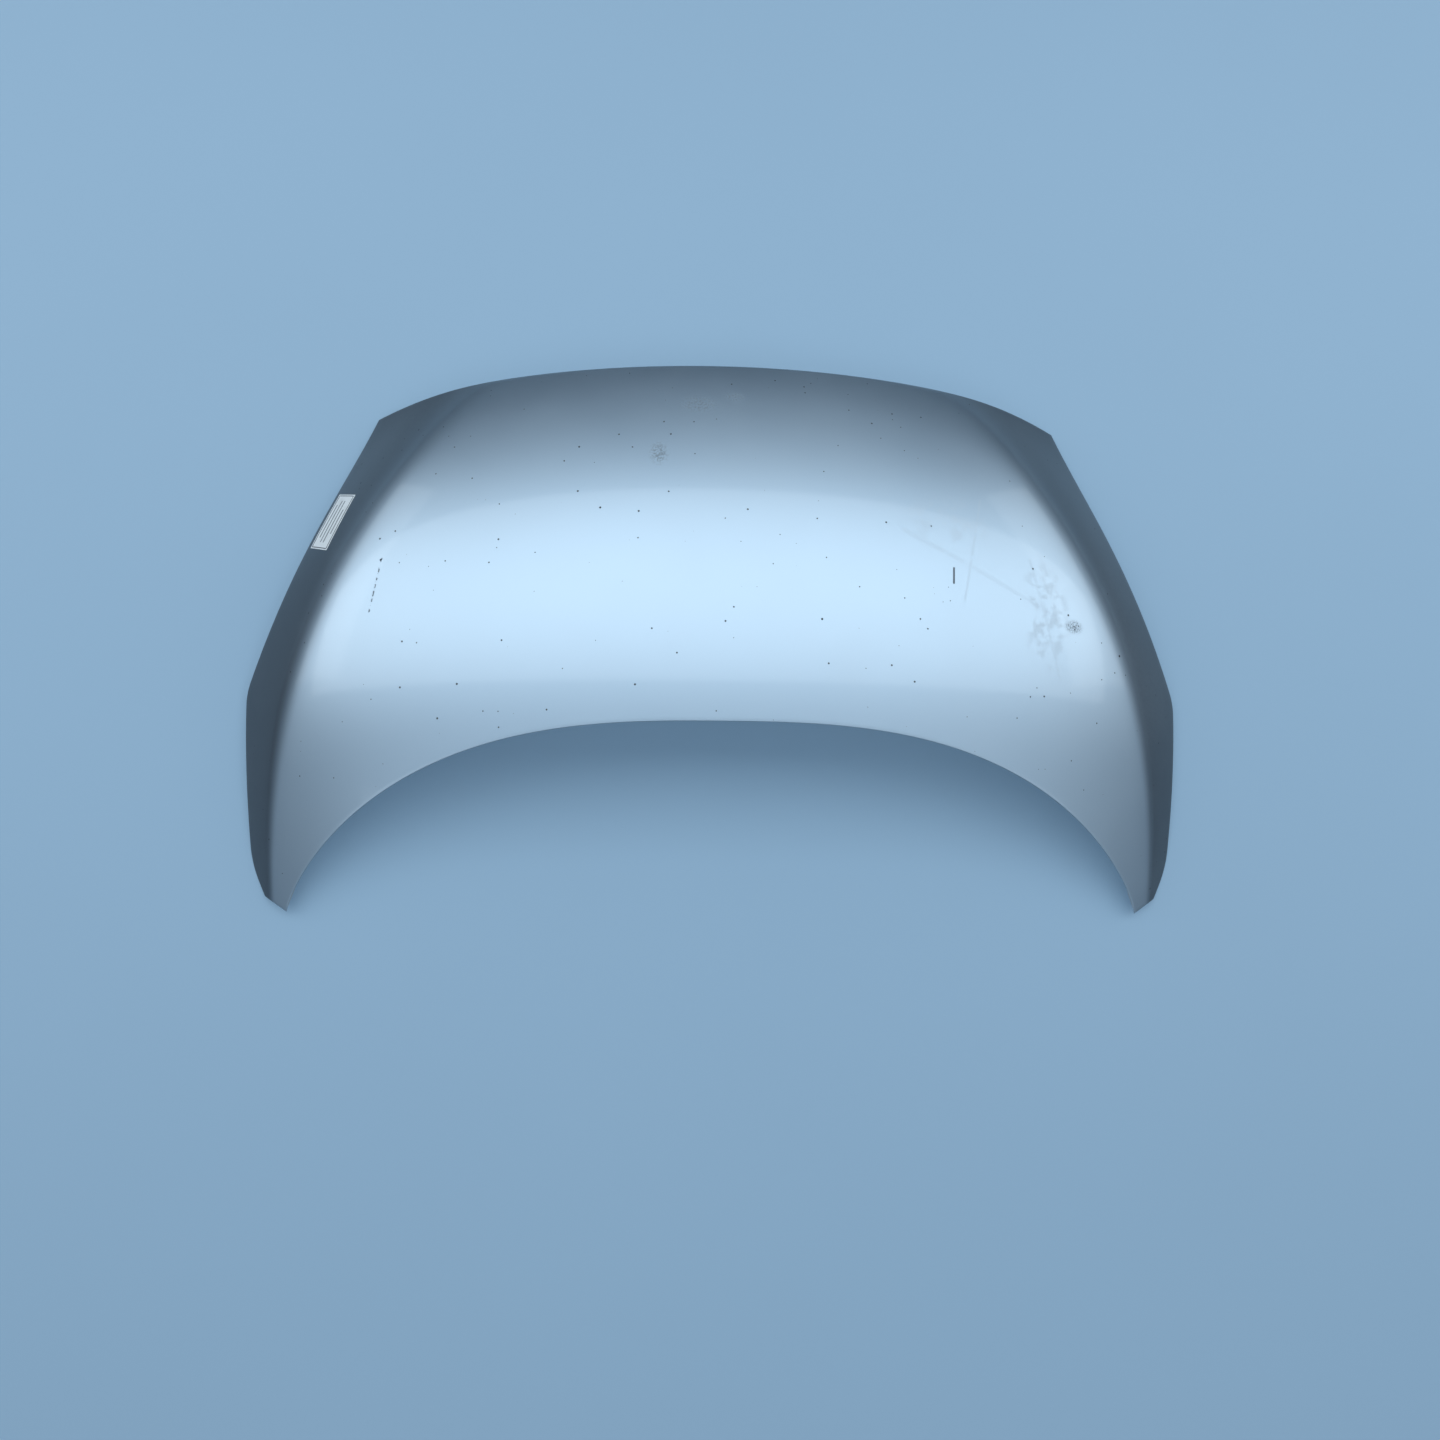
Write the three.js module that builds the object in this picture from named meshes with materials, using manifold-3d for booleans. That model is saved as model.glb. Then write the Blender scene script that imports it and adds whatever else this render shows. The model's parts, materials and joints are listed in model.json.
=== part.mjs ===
// Bonnet of a compact people carrier, off the car and lying on its rim with the painted face up.
// X runs across the bonnet, Y from the rear horns to the front edge and Z up. Millimetres.
import * as THREE from 'three';
import { mergeVertices } from 'three/addons/utils/BufferGeometryUtils.js';
import Module from 'manifold-3d';

const wasm = await Module();
wasm.setup();

// Outline from above: distances run from the tips of the rear horns, half widths from the centre line
const panelLength = 835;
const archDepth = 267;
const archPower = 2.85;
const archRoundness = 0.77;
const widestHalfWidth = 727;
const widestDistance = 328;
const frontCornerInset = 174;
const frontCornerSetback = 53;
const frontEdgePower = 1.9;
const outlineRounding = 12;
const shoulderInset = 23;
const shoulderDistance = 70;
const hornCutInset = 25;
const hornCutDistance = 22;
const hornCreaseInset = 15;
const hornCreaseDistance = 14;
const hornTipInset = 24;

// Crown of the panel
const crownHeight = 205;
const crownDistance = 420;
const crownRadius = 1500;
const sideDropRear = 105;
const sideDropFront = 83;
const sideDropHalfWidth = 600;
const sideDropPower = 2.25;

// Soft crease along each side, sharp at the horn and fading out towards the front
const creaseFrontInset = 178;
const creasePower = 2.11;
const creaseSoftnessRear = 8;
const creaseSoftnessFront = 80;
const creaseSoftnessPower = 1.5;
const creaseSlope = 0.3;
const creaseExtraSlope = 0.24;
const creaseExtraPower = 3;

// Roll of the front edge
const rollWidth = 75;
const rollSoftness = 110;
const rollSlope = 0.36;

// Sheets, and the hem that folds the outer sheet round the flange of the inner one
const skinThickness = 0.8;
const innerThickness = 0.9;
const clearance = 0.3;
const hemWidth = 12;
const hemRounding = 0.9;

// Hollow rails, ribs and lightening holes of the inner panel
const railDepth = 24;
const hornRailDepth = 12;
const hornTaperLength = 220;
const wallRun = 11;
const hornWallRun = 5;
const railWidthRear = 84;
const railWidthSide = 84;
const railWidthFront = 112;
const ribWidth = 44;
const rimDepth = 4.6;
const rimWidth = 14;
const baysAcross = 3;
const baysAlong = 2;
const bayCornerLength = 76;

// Flat pads pressed into the rails
const padRaise = 3;
const padWallRun = 9;
const padCornerRadius = 10;
const padSlopeShare = 0.5;

// Hinge fixing in each horn
const hingeInset = 33;
const hingeDistance = 158;
const hingePadWidth = 42;
const hingePadLength = 84;
const hingeBoltPitch = 50;
const boltDiameter = 8;
const plateThickness = 2;
const plateMargin = 4;
const nutAcrossFlats = 13;
const nutHeight = 6.5;
const boltHeadHeight = 5.5;
const boltFlangeRadius = 8.5;
const boltFlangeHeight = 1.5;

// Latch fixing behind the front edge
const latchSetback = 78;
const latchPadWidth = 118;
const latchBoltPitch = 84;
const strikerPlateThickness = 2.5;
const strikerPlateMargin = 5;
const strikerRodDiameter = 8;
const strikerLegPitch = 30;
const strikerRearMargin = 6;
const strikerFrontMargin = 22;
const strikerDrop = 42;
const strikerBend = 9;

// Safety catch beside the striker
const catchThickness = 3;
const catchPivotOffset = 20;
const catchPivotDrop = 14;
const catchPinDiameter = 6;
const catchArmWidth = 15;
const catchArmLength = 40;
const catchHookLength = 17;
const catchNoseRise = 4.5;
const catchNoseHeight = 6;
const catchToeReach = 3;
const catchHeelDrop = 3;
const catchLeverLength = 44;
const catchLeverHeight = 10;
const catchLeverLift = 2;
const earThickness = 2.5;
const earGap = 3;
const gripWidth = 20;
const gripLength = 30;
const gripHeight = 15;
const gripCornerRadius = 3.75;
const gripEndWall = 3;
const pinHeadRadius = 5.4;
const pinHeadHeight = 2;
const springWire = 1.4;
const springRadius = 5.2;
const springTurns = 3;
const springPitch = 1.7;
const springLegLength = 12;

// Rubber buffers, plugs and the socket of the prop rod
const roundPadRadius = 19;
const bufferRadius = 13;
const bufferHeight = 13;
const bufferNeckRadius = 4.5;
const bufferBarbRadius = 6;
const bufferBarbHeight = 6;
const bufferTipRadius = 3.2;
const bufferEdge = 2;
const plugRadius = 14;
const plugHeight = 2.5;
const plugNeckRadius = 10;
const plugDish = 1.5;
const socketRadius = 13;
const socketBore = 6;
const socketNeckRadius = 9;
const socketHeight = 9;
const socketFlange = 3;
const frontBufferInset = 161;
const sideBufferDistance = 452;
const plugHalfWidth = 205;
const propDistance = 575;
const fittingInset = 62;

// Pads of mastic between the two sheets
const masticRadius = 5;

// Paper stock label on the left side strip, measured from above
const labelLength = 98;
const labelWidth = 40;
const labelThickness = 0.3;
const labelDistance = 590;
const labelInset = 30;

// Fineness of the grid over the panel, and of the bends and rods
const mainColumns = 14;
const stripColumns = 7;
const tipColumns = 2;
const rearRows = 7;
const frontRows = 12;
const mainCrowding = 1.6;
const stripCrowding = 1.4;
const archCrowding = 1.3;
const cornerCrowding = 4;
const cornerHemShare = 0.4;
const sideSteps = 24;
const bayPoints = 2;
const cornerPoints = 3;
const cornerReachShare = 0.45;
const roundSides = 16;
const rodSides = 10;
const rodSteps = 24;
const springSides = 6;
const springTurnSteps = 12;
const springLegSteps = 8;
const labelSteps = 8;
const labelLanes = 4;
const mergeDistance = 1e-4;
const joinOverlap = 0.5;

// Half widths that follow from the widest one
const shoulderHalfWidth = widestHalfWidth - shoulderInset;
const hornCutHalfWidth = shoulderHalfWidth - hornCutInset;
const hornCreaseHalfWidth = hornCutHalfWidth - hornCreaseInset;
const hornTipHalfWidth = hornCreaseHalfWidth - hornTipInset;
const frontCornerHalfWidth = widestHalfWidth - frontCornerInset;
const creaseFrontHalfWidth = frontCornerHalfWidth - creaseFrontInset;

const paint = { color: 0x9fb2c2, roughness: 0.32, metalness: 0.55 };
const innerPaint = { color: 0x8d9ba8, roughness: 0.5, metalness: 0.4 };
const zinc = { color: 0xb9bcb8, roughness: 0.42, metalness: 0.9 };
const steel = { color: 0x8f9296, roughness: 0.35, metalness: 0.95 };
const rubber = { color: 0x17181a, roughness: 0.85, metalness: 0 };
const plastic = { color: 0x1d1e20, roughness: 0.6, metalness: 0 };
const mastic = { color: 0x3b3a37, roughness: 0.9, metalness: 0 };
const paper = { color: 0xe9e8e2, roughness: 0.85, metalness: 0 };

const bonnet = new THREE.Group();

function addMesh(name, geometry, finish, parent = bonnet) {
  const mesh = new THREE.Mesh(geometry, new THREE.MeshStandardMaterial(finish));
  mesh.name = name;
  parent.add(mesh);
  return mesh;
}

// Smaller of two values, rounded off where they are nearly alike
function roundedMinimum(first, second) {
  const blend = Math.max(outlineRounding - Math.abs(first - second), 0) / outlineRounding;
  return Math.min(first, second) - blend * blend * outlineRounding / 4;
}

function lineThrough(value, startValue, startResult, endValue, endResult) {
  return startResult + (endResult - startResult) * (value - startValue) / (endValue - startValue);
}

// Outline curves of the right half
function archEdge(x) {
  const share = Math.min(Math.abs(x) / hornTipHalfWidth, 1);
  return archDepth * (1 - share ** archPower) ** archRoundness;
}

function frontEdge(x) {
  return panelLength - frontCornerSetback * (Math.abs(x) / frontCornerHalfWidth) ** frontEdgePower;
}

const frontCornerDistance = frontEdge(frontCornerHalfWidth);
const creaseFrontDistance = frontEdge(creaseFrontHalfWidth);

function sideEdge(y) {
  const horn = lineThrough(y, hornCutDistance, hornCutHalfWidth, shoulderDistance, shoulderHalfWidth);
  const wing = lineThrough(y, shoulderDistance, shoulderHalfWidth, widestDistance, widestHalfWidth);
  const lamp = lineThrough(y, widestDistance, widestHalfWidth, frontCornerDistance, frontCornerHalfWidth);
  return roundedMinimum(roundedMinimum(horn, wing), lamp);
}

function creaseHalfWidth(y) {
  const share = Math.max(lineThrough(y, hornCreaseDistance, 0, creaseFrontDistance, 1), 0);
  return hornCreaseHalfWidth - (hornCreaseHalfWidth - creaseFrontHalfWidth) * share ** creasePower;
}

// Nothing well before the bend and a straight climb well after it
function softBend(distance, softness) {
  return (distance + Math.hypot(distance, softness)) / 2;
}

// Height of the painted face
function surfaceHeight(x, y) {
  const across = Math.abs(x);
  const along = THREE.MathUtils.clamp(y / panelLength, 0, 1);
  const lengthSag = (y - crownDistance) ** 2 / (2 * crownRadius);
  const sideDrop = THREE.MathUtils.lerp(sideDropRear, sideDropFront, along);
  const sideSag = sideDrop * (across / sideDropHalfWidth) ** sideDropPower;
  const fade = along ** creaseSoftnessPower;
  const softness = THREE.MathUtils.lerp(creaseSoftnessRear, creaseSoftnessFront, fade);
  const slope = creaseSlope + creaseExtraSlope * Math.sin(Math.PI * along ** creaseExtraPower);
  const fold = slope * softBend(across - creaseHalfWidth(y), softness);
  const roll = rollSlope * softBend(y - frontEdge(across) + rollWidth, rollSoftness);
  return crownHeight - lengthSag - sideSag - Math.hypot(fold, roll);
}

// Rows run from the horns to the front, with one through the widest point and one along each hem
const hemRow = hemWidth / (panelLength - hornCreaseDistance);
const widestRow = lineThrough(widestDistance, hornCutDistance, 0, frontCornerDistance, 1);
const rowShares = [0];
for (let step = 0; step < rearRows; step += 1) {
  rowShares.push(THREE.MathUtils.lerp(hemRow, widestRow, step / rearRows));
}
for (let step = 0; step <= frontRows; step += 1) {
  rowShares.push(THREE.MathUtils.lerp(widestRow, 1 - hemRow, step / frontRows));
}
rowShares.push(1);
const lastRow = rowShares.length - 1;
const lastColumn = mainColumns + stripColumns;

function columnShare(column) {
  return 1 - ((mainColumns - column) / mainColumns) ** mainCrowding;
}

function creasePoint(share) {
  const y = THREE.MathUtils.lerp(hornCreaseDistance, creaseFrontDistance, share);
  return new THREE.Vector2(creaseHalfWidth(y), y);
}

function sidePoint(share) {
  const y = THREE.MathUtils.lerp(hornCutDistance, frontCornerDistance, share);
  return new THREE.Vector2(sideEdge(y), y);
}

function rearPoint(column) {
  const tipColumn = mainColumns - tipColumns;
  const crease = creasePoint(0);
  if (column >= tipColumn) {
    const tip = new THREE.Vector2(hornTipHalfWidth, 0);
    const share = ((mainColumns - column) / tipColumns) ** mainCrowding;
    return crease.lerp(tip, share);
  }
  const x = hornTipHalfWidth * (1 - ((tipColumn - column) / tipColumn) ** archCrowding);
  return new THREE.Vector2(x, archEdge(x));
}

// Blend of the four edges of the field between the centre line and the crease
function mainPoint(column, row) {
  const across = columnShare(column);
  const along = rowShares[row];
  const frontX = across * creaseFrontHalfWidth;
  const front = new THREE.Vector2(frontX, frontEdge(frontX));
  const rear = rearPoint(column);
  const centre = new THREE.Vector2(0, THREE.MathUtils.lerp(archDepth, panelLength, along));
  const crease = creasePoint(along);
  const rearLine = new THREE.Vector2(0, archDepth).lerp(creasePoint(0), across);
  const frontLine = new THREE.Vector2(0, panelLength).lerp(creasePoint(1), across);
  const point = rear.lerp(front, along).add(centre.lerp(crease, across));
  return point.sub(rearLine.lerp(frontLine, along));
}

// Side strip between the crease and the edge, with its last column along the hem
function stripPoint(column, row) {
  const along = rowShares[row];
  const crease = creasePoint(along);
  const edge = sidePoint(along);
  const width = crease.distanceTo(edge);
  const hem = Math.min(hemWidth, width * cornerHemShare);
  const step = column - mainColumns;
  const share = step === stripColumns
    ? 1
    : (1 - hem / width) * (step / (stripColumns - 1)) ** stripCrowding;
  const frontX = THREE.MathUtils.lerp(creaseFrontHalfWidth, frontCornerHalfWidth, share);
  const frontLine = creasePoint(1).lerp(sidePoint(1), share);
  const bulge = new THREE.Vector2(frontX, frontEdge(frontX)).sub(frontLine);
  return crease.lerp(edge, share).addScaledVector(bulge, along ** cornerCrowding);
}

function gridPoint(column, row) {
  const size = Math.abs(column);
  const point = size <= mainColumns ? mainPoint(size, row) : stripPoint(size, row);
  return column < 0 ? new THREE.Vector2(-point.x, point.y) : point;
}

// Closed loop of grid cells' corners, anticlockwise from above, inset by whole rows and columns
function gridLoop(inset) {
  const loop = [];
  const side = lastColumn - inset;
  const top = lastRow - inset;
  for (let column = -side; column <= side; column += 1) {
    loop.push([column, inset]);
  }
  for (let row = inset + 1; row <= top; row += 1) {
    loop.push([side, row]);
  }
  for (let column = side - 1; column >= -side; column -= 1) {
    loop.push([column, top]);
  }
  for (let row = top - 1; row > inset; row -= 1) {
    loop.push([-side, row]);
  }
  return loop;
}

// Loop moved inwards by the distance given for each point, square to its own edges
function insetLoop(points, distanceAt) {
  return points.map((point, index) => {
    const before = points[(index + points.length - 1) % points.length];
    const after = points[(index + 1) % points.length];
    const arriving = point.clone().sub(before).normalize();
    const leaving = after.clone().sub(point).normalize();
    const normal = new THREE.Vector2(-arriving.y - leaving.y, arriving.x + leaving.x).normalize();
    const stretch = Math.max(normal.x * -leaving.y + normal.y * leaving.x, 0.5);
    return point.clone().addScaledVector(normal, distanceAt(point) / stretch);
  });
}

// Triangles of one closed sheet, with points given as plan position and height
class FaceList {
  constructor() {
    this.values = [];
  }

  triangle(first, second, third) {
    for (const corner of [first, second, third]) {
      this.values.push(corner.x, corner.y, corner.z);
    }
  }

  quad(first, second, third, fourth, swap = false) {
    if (swap) {
      this.triangle(first, second, fourth);
      this.triangle(second, third, fourth);
    } else {
      this.triangle(first, second, third);
      this.triangle(first, third, fourth);
    }
  }

  // Band between two loops of the same length
  band(lower, upper) {
    lower.forEach((point, index) => {
      const next = (index + 1) % lower.length;
      this.quad(point, lower[next], upper[next], upper[index]);
    });
  }

  geometry() {
    const raw = new THREE.BufferGeometry();
    raw.setAttribute('position', new THREE.Float32BufferAttribute(this.values, 3));
    const merged = mergeVertices(raw, mergeDistance);
    merged.computeVertexNormals();
    return merged;
  }
}

const outline = gridLoop(0).map(([column, row]) => gridPoint(column, row));
const outlineIndex = new Map(gridLoop(0).map(([column, row], index) => [`${column},${row}`, index]));

// Grid positions with the outermost ones drawn in from the edge
function insetGrid(distance) {
  const edge = insetLoop(outline, () => distance);
  return (column, row) => {
    const index = outlineIndex.get(`${column},${row}`);
    return index === undefined ? gridPoint(column, row) : edge[index];
  };
}

function raised(point, drop) {
  return new THREE.Vector3(point.x, point.y, surfaceHeight(point.x, point.y) - drop);
}

// Faces of the grid's cells, turned up or down, all of them or only the outermost band
function addCells(faces, grid, drop, facesUp, bandOnly) {
  for (let row = 0; row < lastRow; row += 1) {
    for (let column = -lastColumn; column < lastColumn; column += 1) {
      const outer = row === 0 || row === lastRow - 1
        || column === -lastColumn || column === lastColumn - 1;
      if (bandOnly && !outer) {
        continue;
      }
      const corners = [[0, 0], [1, 0], [1, 1], [0, 1]]
        .map(([across, along]) => raised(grid(column + across, row + along), drop));
      const swap = column < 0;
      if (facesUp) {
        faces.quad(corners[0], corners[1], corners[2], corners[3], swap);
      } else {
        faces.quad(corners[0], corners[3], corners[2], corners[1], swap);
      }
    }
  }
}

function edgeRing(distance, drop) {
  return insetLoop(outline, () => distance).map((point) => raised(point, drop));
}

function gridRing(inset, drop) {
  return gridLoop(inset).map(([column, row]) => raised(gridPoint(column, row), drop));
}

// Outer sheet with its edge folded back under the flange of the inner panel
const hemDepth = 2 * skinThickness + innerThickness + 2 * clearance;
const hemInside = skinThickness + clearance;

function buildSkin() {
  const faces = new FaceList();
  const outerGrid = insetGrid(hemRounding);
  const insideGrid = insetGrid(hemInside);
  addCells(faces, outerGrid, 0, true, false);
  addCells(faces, insideGrid, skinThickness, false, false);
  addCells(faces, insideGrid, hemDepth - skinThickness, true, true);
  addCells(faces, outerGrid, hemDepth, false, true);
  const nose = edgeRing(0, hemDepth / 2);
  faces.band(nose, edgeRing(hemRounding, 0));
  faces.band(edgeRing(hemRounding, hemDepth), nose);
  faces.band(edgeRing(hemInside, skinThickness), edgeRing(hemInside, hemDepth - skinThickness));
  faces.band(gridRing(1, hemDepth - skinThickness), gridRing(1, hemDepth));
  return faces.geometry();
}

const skin = addMesh('bonnet_skin', buildSkin(), paint);

// Sheet of even thickness, given by the triangles of its upper face
class PressedSheet {
  constructor(thickness) {
    this.thickness = thickness;
    this.faces = new FaceList();
  }

  lowered(point) {
    return new THREE.Vector3(point.x, point.y, point.z - this.thickness);
  }

  triangle(first, second, third) {
    this.faces.triangle(first, second, third);
    this.faces.triangle(this.lowered(first), this.lowered(third), this.lowered(second));
  }

  // Band between an outer loop and the loop inside it
  band(outer, inner) {
    outer.forEach((point, index) => {
      const next = (index + 1) % outer.length;
      this.triangle(point, outer[next], inner[next]);
      this.triangle(point, inner[next], inner[index]);
    });
  }

  outerEdge(loop) {
    this.faces.band(loop.map((point) => this.lowered(point)), loop);
  }

  holeEdge(loop) {
    this.faces.band(loop, loop.map((point) => this.lowered(point)));
  }
}

function turn(first, second, third) {
  return (second.x - first.x) * (third.y - first.y) - (second.y - first.y) * (third.x - first.x);
}

// Whether a fourth point lies inside the circle through three others
function insideCircle(first, second, third, fourth) {
  const [a, b, c] = [first, second, third].map((point) => {
    const x = point.x - fourth.x;
    const y = point.y - fourth.y;
    return { x, y, square: x * x + y * y };
  });
  const sum = a.x * (b.y * c.square - c.y * b.square)
    - a.y * (b.x * c.square - c.x * b.square)
    + a.square * (b.x * c.y - c.x * b.y);
  return sum > 1e-6;
}

function edgeKey(first, second) {
  return first < second ? `${first},${second}` : `${second},${first}`;
}

// Turns shared edges of triangles until none is long and thin without need
function evenTriangles(points, faces, fixed) {
  for (let pass = 0; pass < 80; pass += 1) {
    const sides = new Map();
    faces.forEach((face, number) => {
      for (let corner = 0; corner < 3; corner += 1) {
        const key = edgeKey(face[corner], face[(corner + 1) % 3]);
        const entry = { number, corner };
        sides.set(key, [...(sides.get(key) ?? []), entry]);
      }
    });
    const touched = new Set();
    for (const [key, pair] of sides) {
      if (pair.length !== 2 || fixed.has(key)) {
        continue;
      }
      const [one, other] = pair;
      if (touched.has(one.number) || touched.has(other.number)) {
        continue;
      }
      const start = faces[one.number][one.corner];
      const end = faces[one.number][(one.corner + 1) % 3];
      const left = faces[one.number][(one.corner + 2) % 3];
      const right = faces[other.number][(other.corner + 2) % 3];
      const convex = turn(points[left], points[right], points[end]) > 1e-6
        && turn(points[right], points[left], points[start]) > 1e-6;
      if (convex && insideCircle(points[start], points[end], points[left], points[right])) {
        faces[one.number] = [left, start, right];
        faces[other.number] = [left, right, end];
        touched.add(one.number);
        touched.add(other.number);
      }
    }
    if (touched.size === 0) {
      return;
    }
  }
}

// Fills the field between a loop and the loops inside it
function fillField(sheet, outer, holes) {
  const loops = [outer, ...holes];
  const points = loops.flat();
  const flat = loops.map((loop) => loop.map((point) => new THREE.Vector2(point.x, point.y)));
  const faces = THREE.ShapeUtils.triangulateShape(flat[0], flat.slice(1)).map((face) => {
    const [first, second, third] = face;
    return turn(points[first], points[second], points[third]) < 0 ? [first, third, second] : face;
  });
  const fixed = new Set();
  let start = 0;
  for (const loop of loops) {
    for (let index = 0; index < loop.length; index += 1) {
      fixed.add(edgeKey(start + index, start + (index + 1) % loop.length));
    }
    start += loop.length;
  }
  evenTriangles(points, faces, fixed);
  for (const [first, second, third] of faces) {
    sheet.triangle(points[first], points[second], points[third]);
  }
}

// Line of points moved to its left by a distance
function shiftedLine(points, distance) {
  return points.map((point, index) => {
    const before = points[Math.max(index - 1, 0)];
    const after = points[Math.min(index + 1, points.length - 1)];
    const arriving = point === before ? after.clone().sub(point) : point.clone().sub(before);
    const leaving = point === after ? arriving.clone() : after.clone().sub(point);
    arriving.normalize();
    leaving.normalize();
    const normal = new THREE.Vector2(-arriving.y - leaving.y, arriving.x + leaving.x).normalize();
    const stretch = normal.x * -leaving.y + normal.y * leaving.x;
    return point.clone().addScaledVector(normal, distance / stretch);
  });
}

// Line lengthened straight on at both ends
function lengthened(points, distance) {
  const last = points.length - 1;
  const startWay = points[0].clone().sub(points[1]).normalize();
  const endWay = points[last].clone().sub(points[last - 1]).normalize();
  const start = points[0].clone().addScaledVector(startWay, distance);
  const end = points[last].clone().addScaledVector(endWay, distance);
  return [start, ...points, end];
}

// Where two lines cross, as a point and its place in each line
function crossing(first, second) {
  for (let one = first.length - 2; one >= 0; one -= 1) {
    for (let other = 0; other < second.length - 1; other += 1) {
      const way = first[one + 1].clone().sub(first[one]);
      const otherWay = second[other + 1].clone().sub(second[other]);
      const offset = second[other].clone().sub(first[one]);
      const scale = way.cross(otherWay);
      const share = offset.cross(otherWay) / scale;
      const otherShare = offset.cross(way) / scale;
      if (share >= 0 && share <= 1 && otherShare >= 0 && otherShare <= 1) {
        return { point: first[one].clone().addScaledVector(way, share), one, other };
      }
    }
  }
  throw new Error('two lines of the inner panel do not meet');
}

// Sides of a closed figure moved inwards and cut where they meet
function insetSides(sides, distances) {
  const moved = sides.map((side, index) => lengthened(shiftedLine(side, distances[index]), ribWidth));
  const meets = moved.map((side, index) => crossing(side, moved[(index + 1) % moved.length]));
  return moved.map((side, index) => {
    const start = meets[(index + moved.length - 1) % moved.length];
    const end = meets[index];
    return [start.point, ...side.slice(start.other + 1, end.one + 1), end.point];
  });
}

function lineLength(points) {
  let sum = 0;
  for (let index = 1; index < points.length; index += 1) {
    sum += points[index].distanceTo(points[index - 1]);
  }
  return sum;
}

function alongLine(points, distance) {
  let left = distance;
  for (let index = 1; index < points.length; index += 1) {
    const step = points[index].distanceTo(points[index - 1]);
    if (left <= step || index === points.length - 1) {
      return points[index - 1].clone().lerp(points[index], left / step);
    }
    left -= step;
  }
  return points[0].clone();
}

function sampled(count, curve) {
  return Array.from({ length: count + 1 }, (unused, index) => curve(index / count));
}

// Field inside the rails, as four sides going round anticlockwise from the centre line
const rawSides = [
  sampled(sideSteps, (share) => {
    const x = hornTipHalfWidth * (1 - (1 - share) ** archCrowding);
    return new THREE.Vector2(x, archEdge(x));
  }),
  [
    new THREE.Vector2(shoulderHalfWidth, shoulderDistance),
    new THREE.Vector2(widestHalfWidth, widestDistance),
    new THREE.Vector2(frontCornerHalfWidth, frontCornerDistance),
  ],
  sampled(sideSteps, (share) => {
    const x = frontCornerHalfWidth * (1 - share);
    return new THREE.Vector2(x, frontEdge(x));
  }),
  [new THREE.Vector2(0, panelLength), new THREE.Vector2(0, archDepth)],
];
const fieldSides = insetSides(rawSides, [railWidthRear, railWidthSide, railWidthFront, 0]);

function fieldPoint(across, along) {
  const [rear, side, front, centre] = fieldSides;
  const onSide = (line, share) => alongLine(line, lineLength(line) * share);
  const rearPart = onSide(rear, across).lerp(onSide(front, 1 - across), along);
  const sidePart = onSide(centre, 1 - along).lerp(onSide(side, along), across);
  const rearLine = rear[0].clone().lerp(side[0], across);
  const frontLine = centre[0].clone().lerp(front[0], across);
  return rearPart.add(sidePart).sub(rearLine.lerp(frontLine, along));
}

// Loop inside one bay of the field, with rounded corners
function bayLoop(sides, distance) {
  const moved = insetSides(sides, sides.map(() => distance));
  const loop = [];
  moved.forEach((side, index) => {
    const next = moved[(index + 1) % moved.length];
    const length = lineLength(side);
    const nextLength = lineLength(next);
    const reach = Math.min(bayCornerLength - distance, length * cornerReachShare);
    const nextReach = Math.min(bayCornerLength - distance, nextLength * cornerReachShare);
    for (let step = 0; step <= bayPoints; step += 1) {
      loop.push(alongLine(side, THREE.MathUtils.lerp(reach, length - reach, step / bayPoints)));
    }
    const bend = new THREE.QuadraticBezierCurve(
      alongLine(side, length - reach),
      next[0],
      alongLine(next, nextReach),
    );
    for (let step = 1; step <= cornerPoints; step += 1) {
      loop.push(bend.getPoint(step / (cornerPoints + 1)));
    }
  });
  return loop;
}

function baySides(across, along) {
  const left = across / baysAcross;
  const right = (across + 1) / baysAcross;
  const rear = along / baysAlong;
  const front = (along + 1) / baysAlong;
  return [
    sampled(bayPoints, (share) => fieldPoint(THREE.MathUtils.lerp(left, right, share), rear)),
    sampled(bayPoints, (share) => fieldPoint(right, THREE.MathUtils.lerp(rear, front, share))),
    sampled(bayPoints, (share) => fieldPoint(THREE.MathUtils.lerp(right, left, share), front)),
    sampled(bayPoints, (share) => fieldPoint(left, THREE.MathUtils.lerp(front, rear, share))),
  ];
}

function mirrored(loop) {
  return loop.map((point) => new THREE.Vector2(-point.x, point.y)).reverse();
}

// Each bay gives a wall down from the rim, the rim itself and the lightening hole
const bays = [];
for (let along = 0; along < baysAlong; along += 1) {
  for (let across = 0; across < baysAcross; across += 1) {
    const sides = baySides(across, along);
    const distances = [ribWidth / 2, ribWidth / 2 + wallRun, ribWidth / 2 + wallRun + rimWidth];
    const loops = distances.map((distance) => bayLoop(sides, distance));
    bays.push(loops, loops.map(mirrored));
  }
}

// From the horn's value to the rail's full value along the taper
function tapered(point, atHorn, full) {
  const taperEnd = hornCreaseDistance + hornTaperLength;
  const share = THREE.MathUtils.smoothstep(point.y, hornCreaseDistance, taperEnd);
  return THREE.MathUtils.lerp(atHorn, full, share);
}

function onRail(point) {
  return raised(point, tapered(point, hornRailDepth, railDepth));
}

function circleLoop(centre, radius, sides) {
  return sampled(sides - 1, (share) => {
    const angle = share * (sides - 1) / sides * 2 * Math.PI;
    return new THREE.Vector2(centre.x + radius * Math.cos(angle), centre.y + radius * Math.sin(angle));
  });
}

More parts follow.
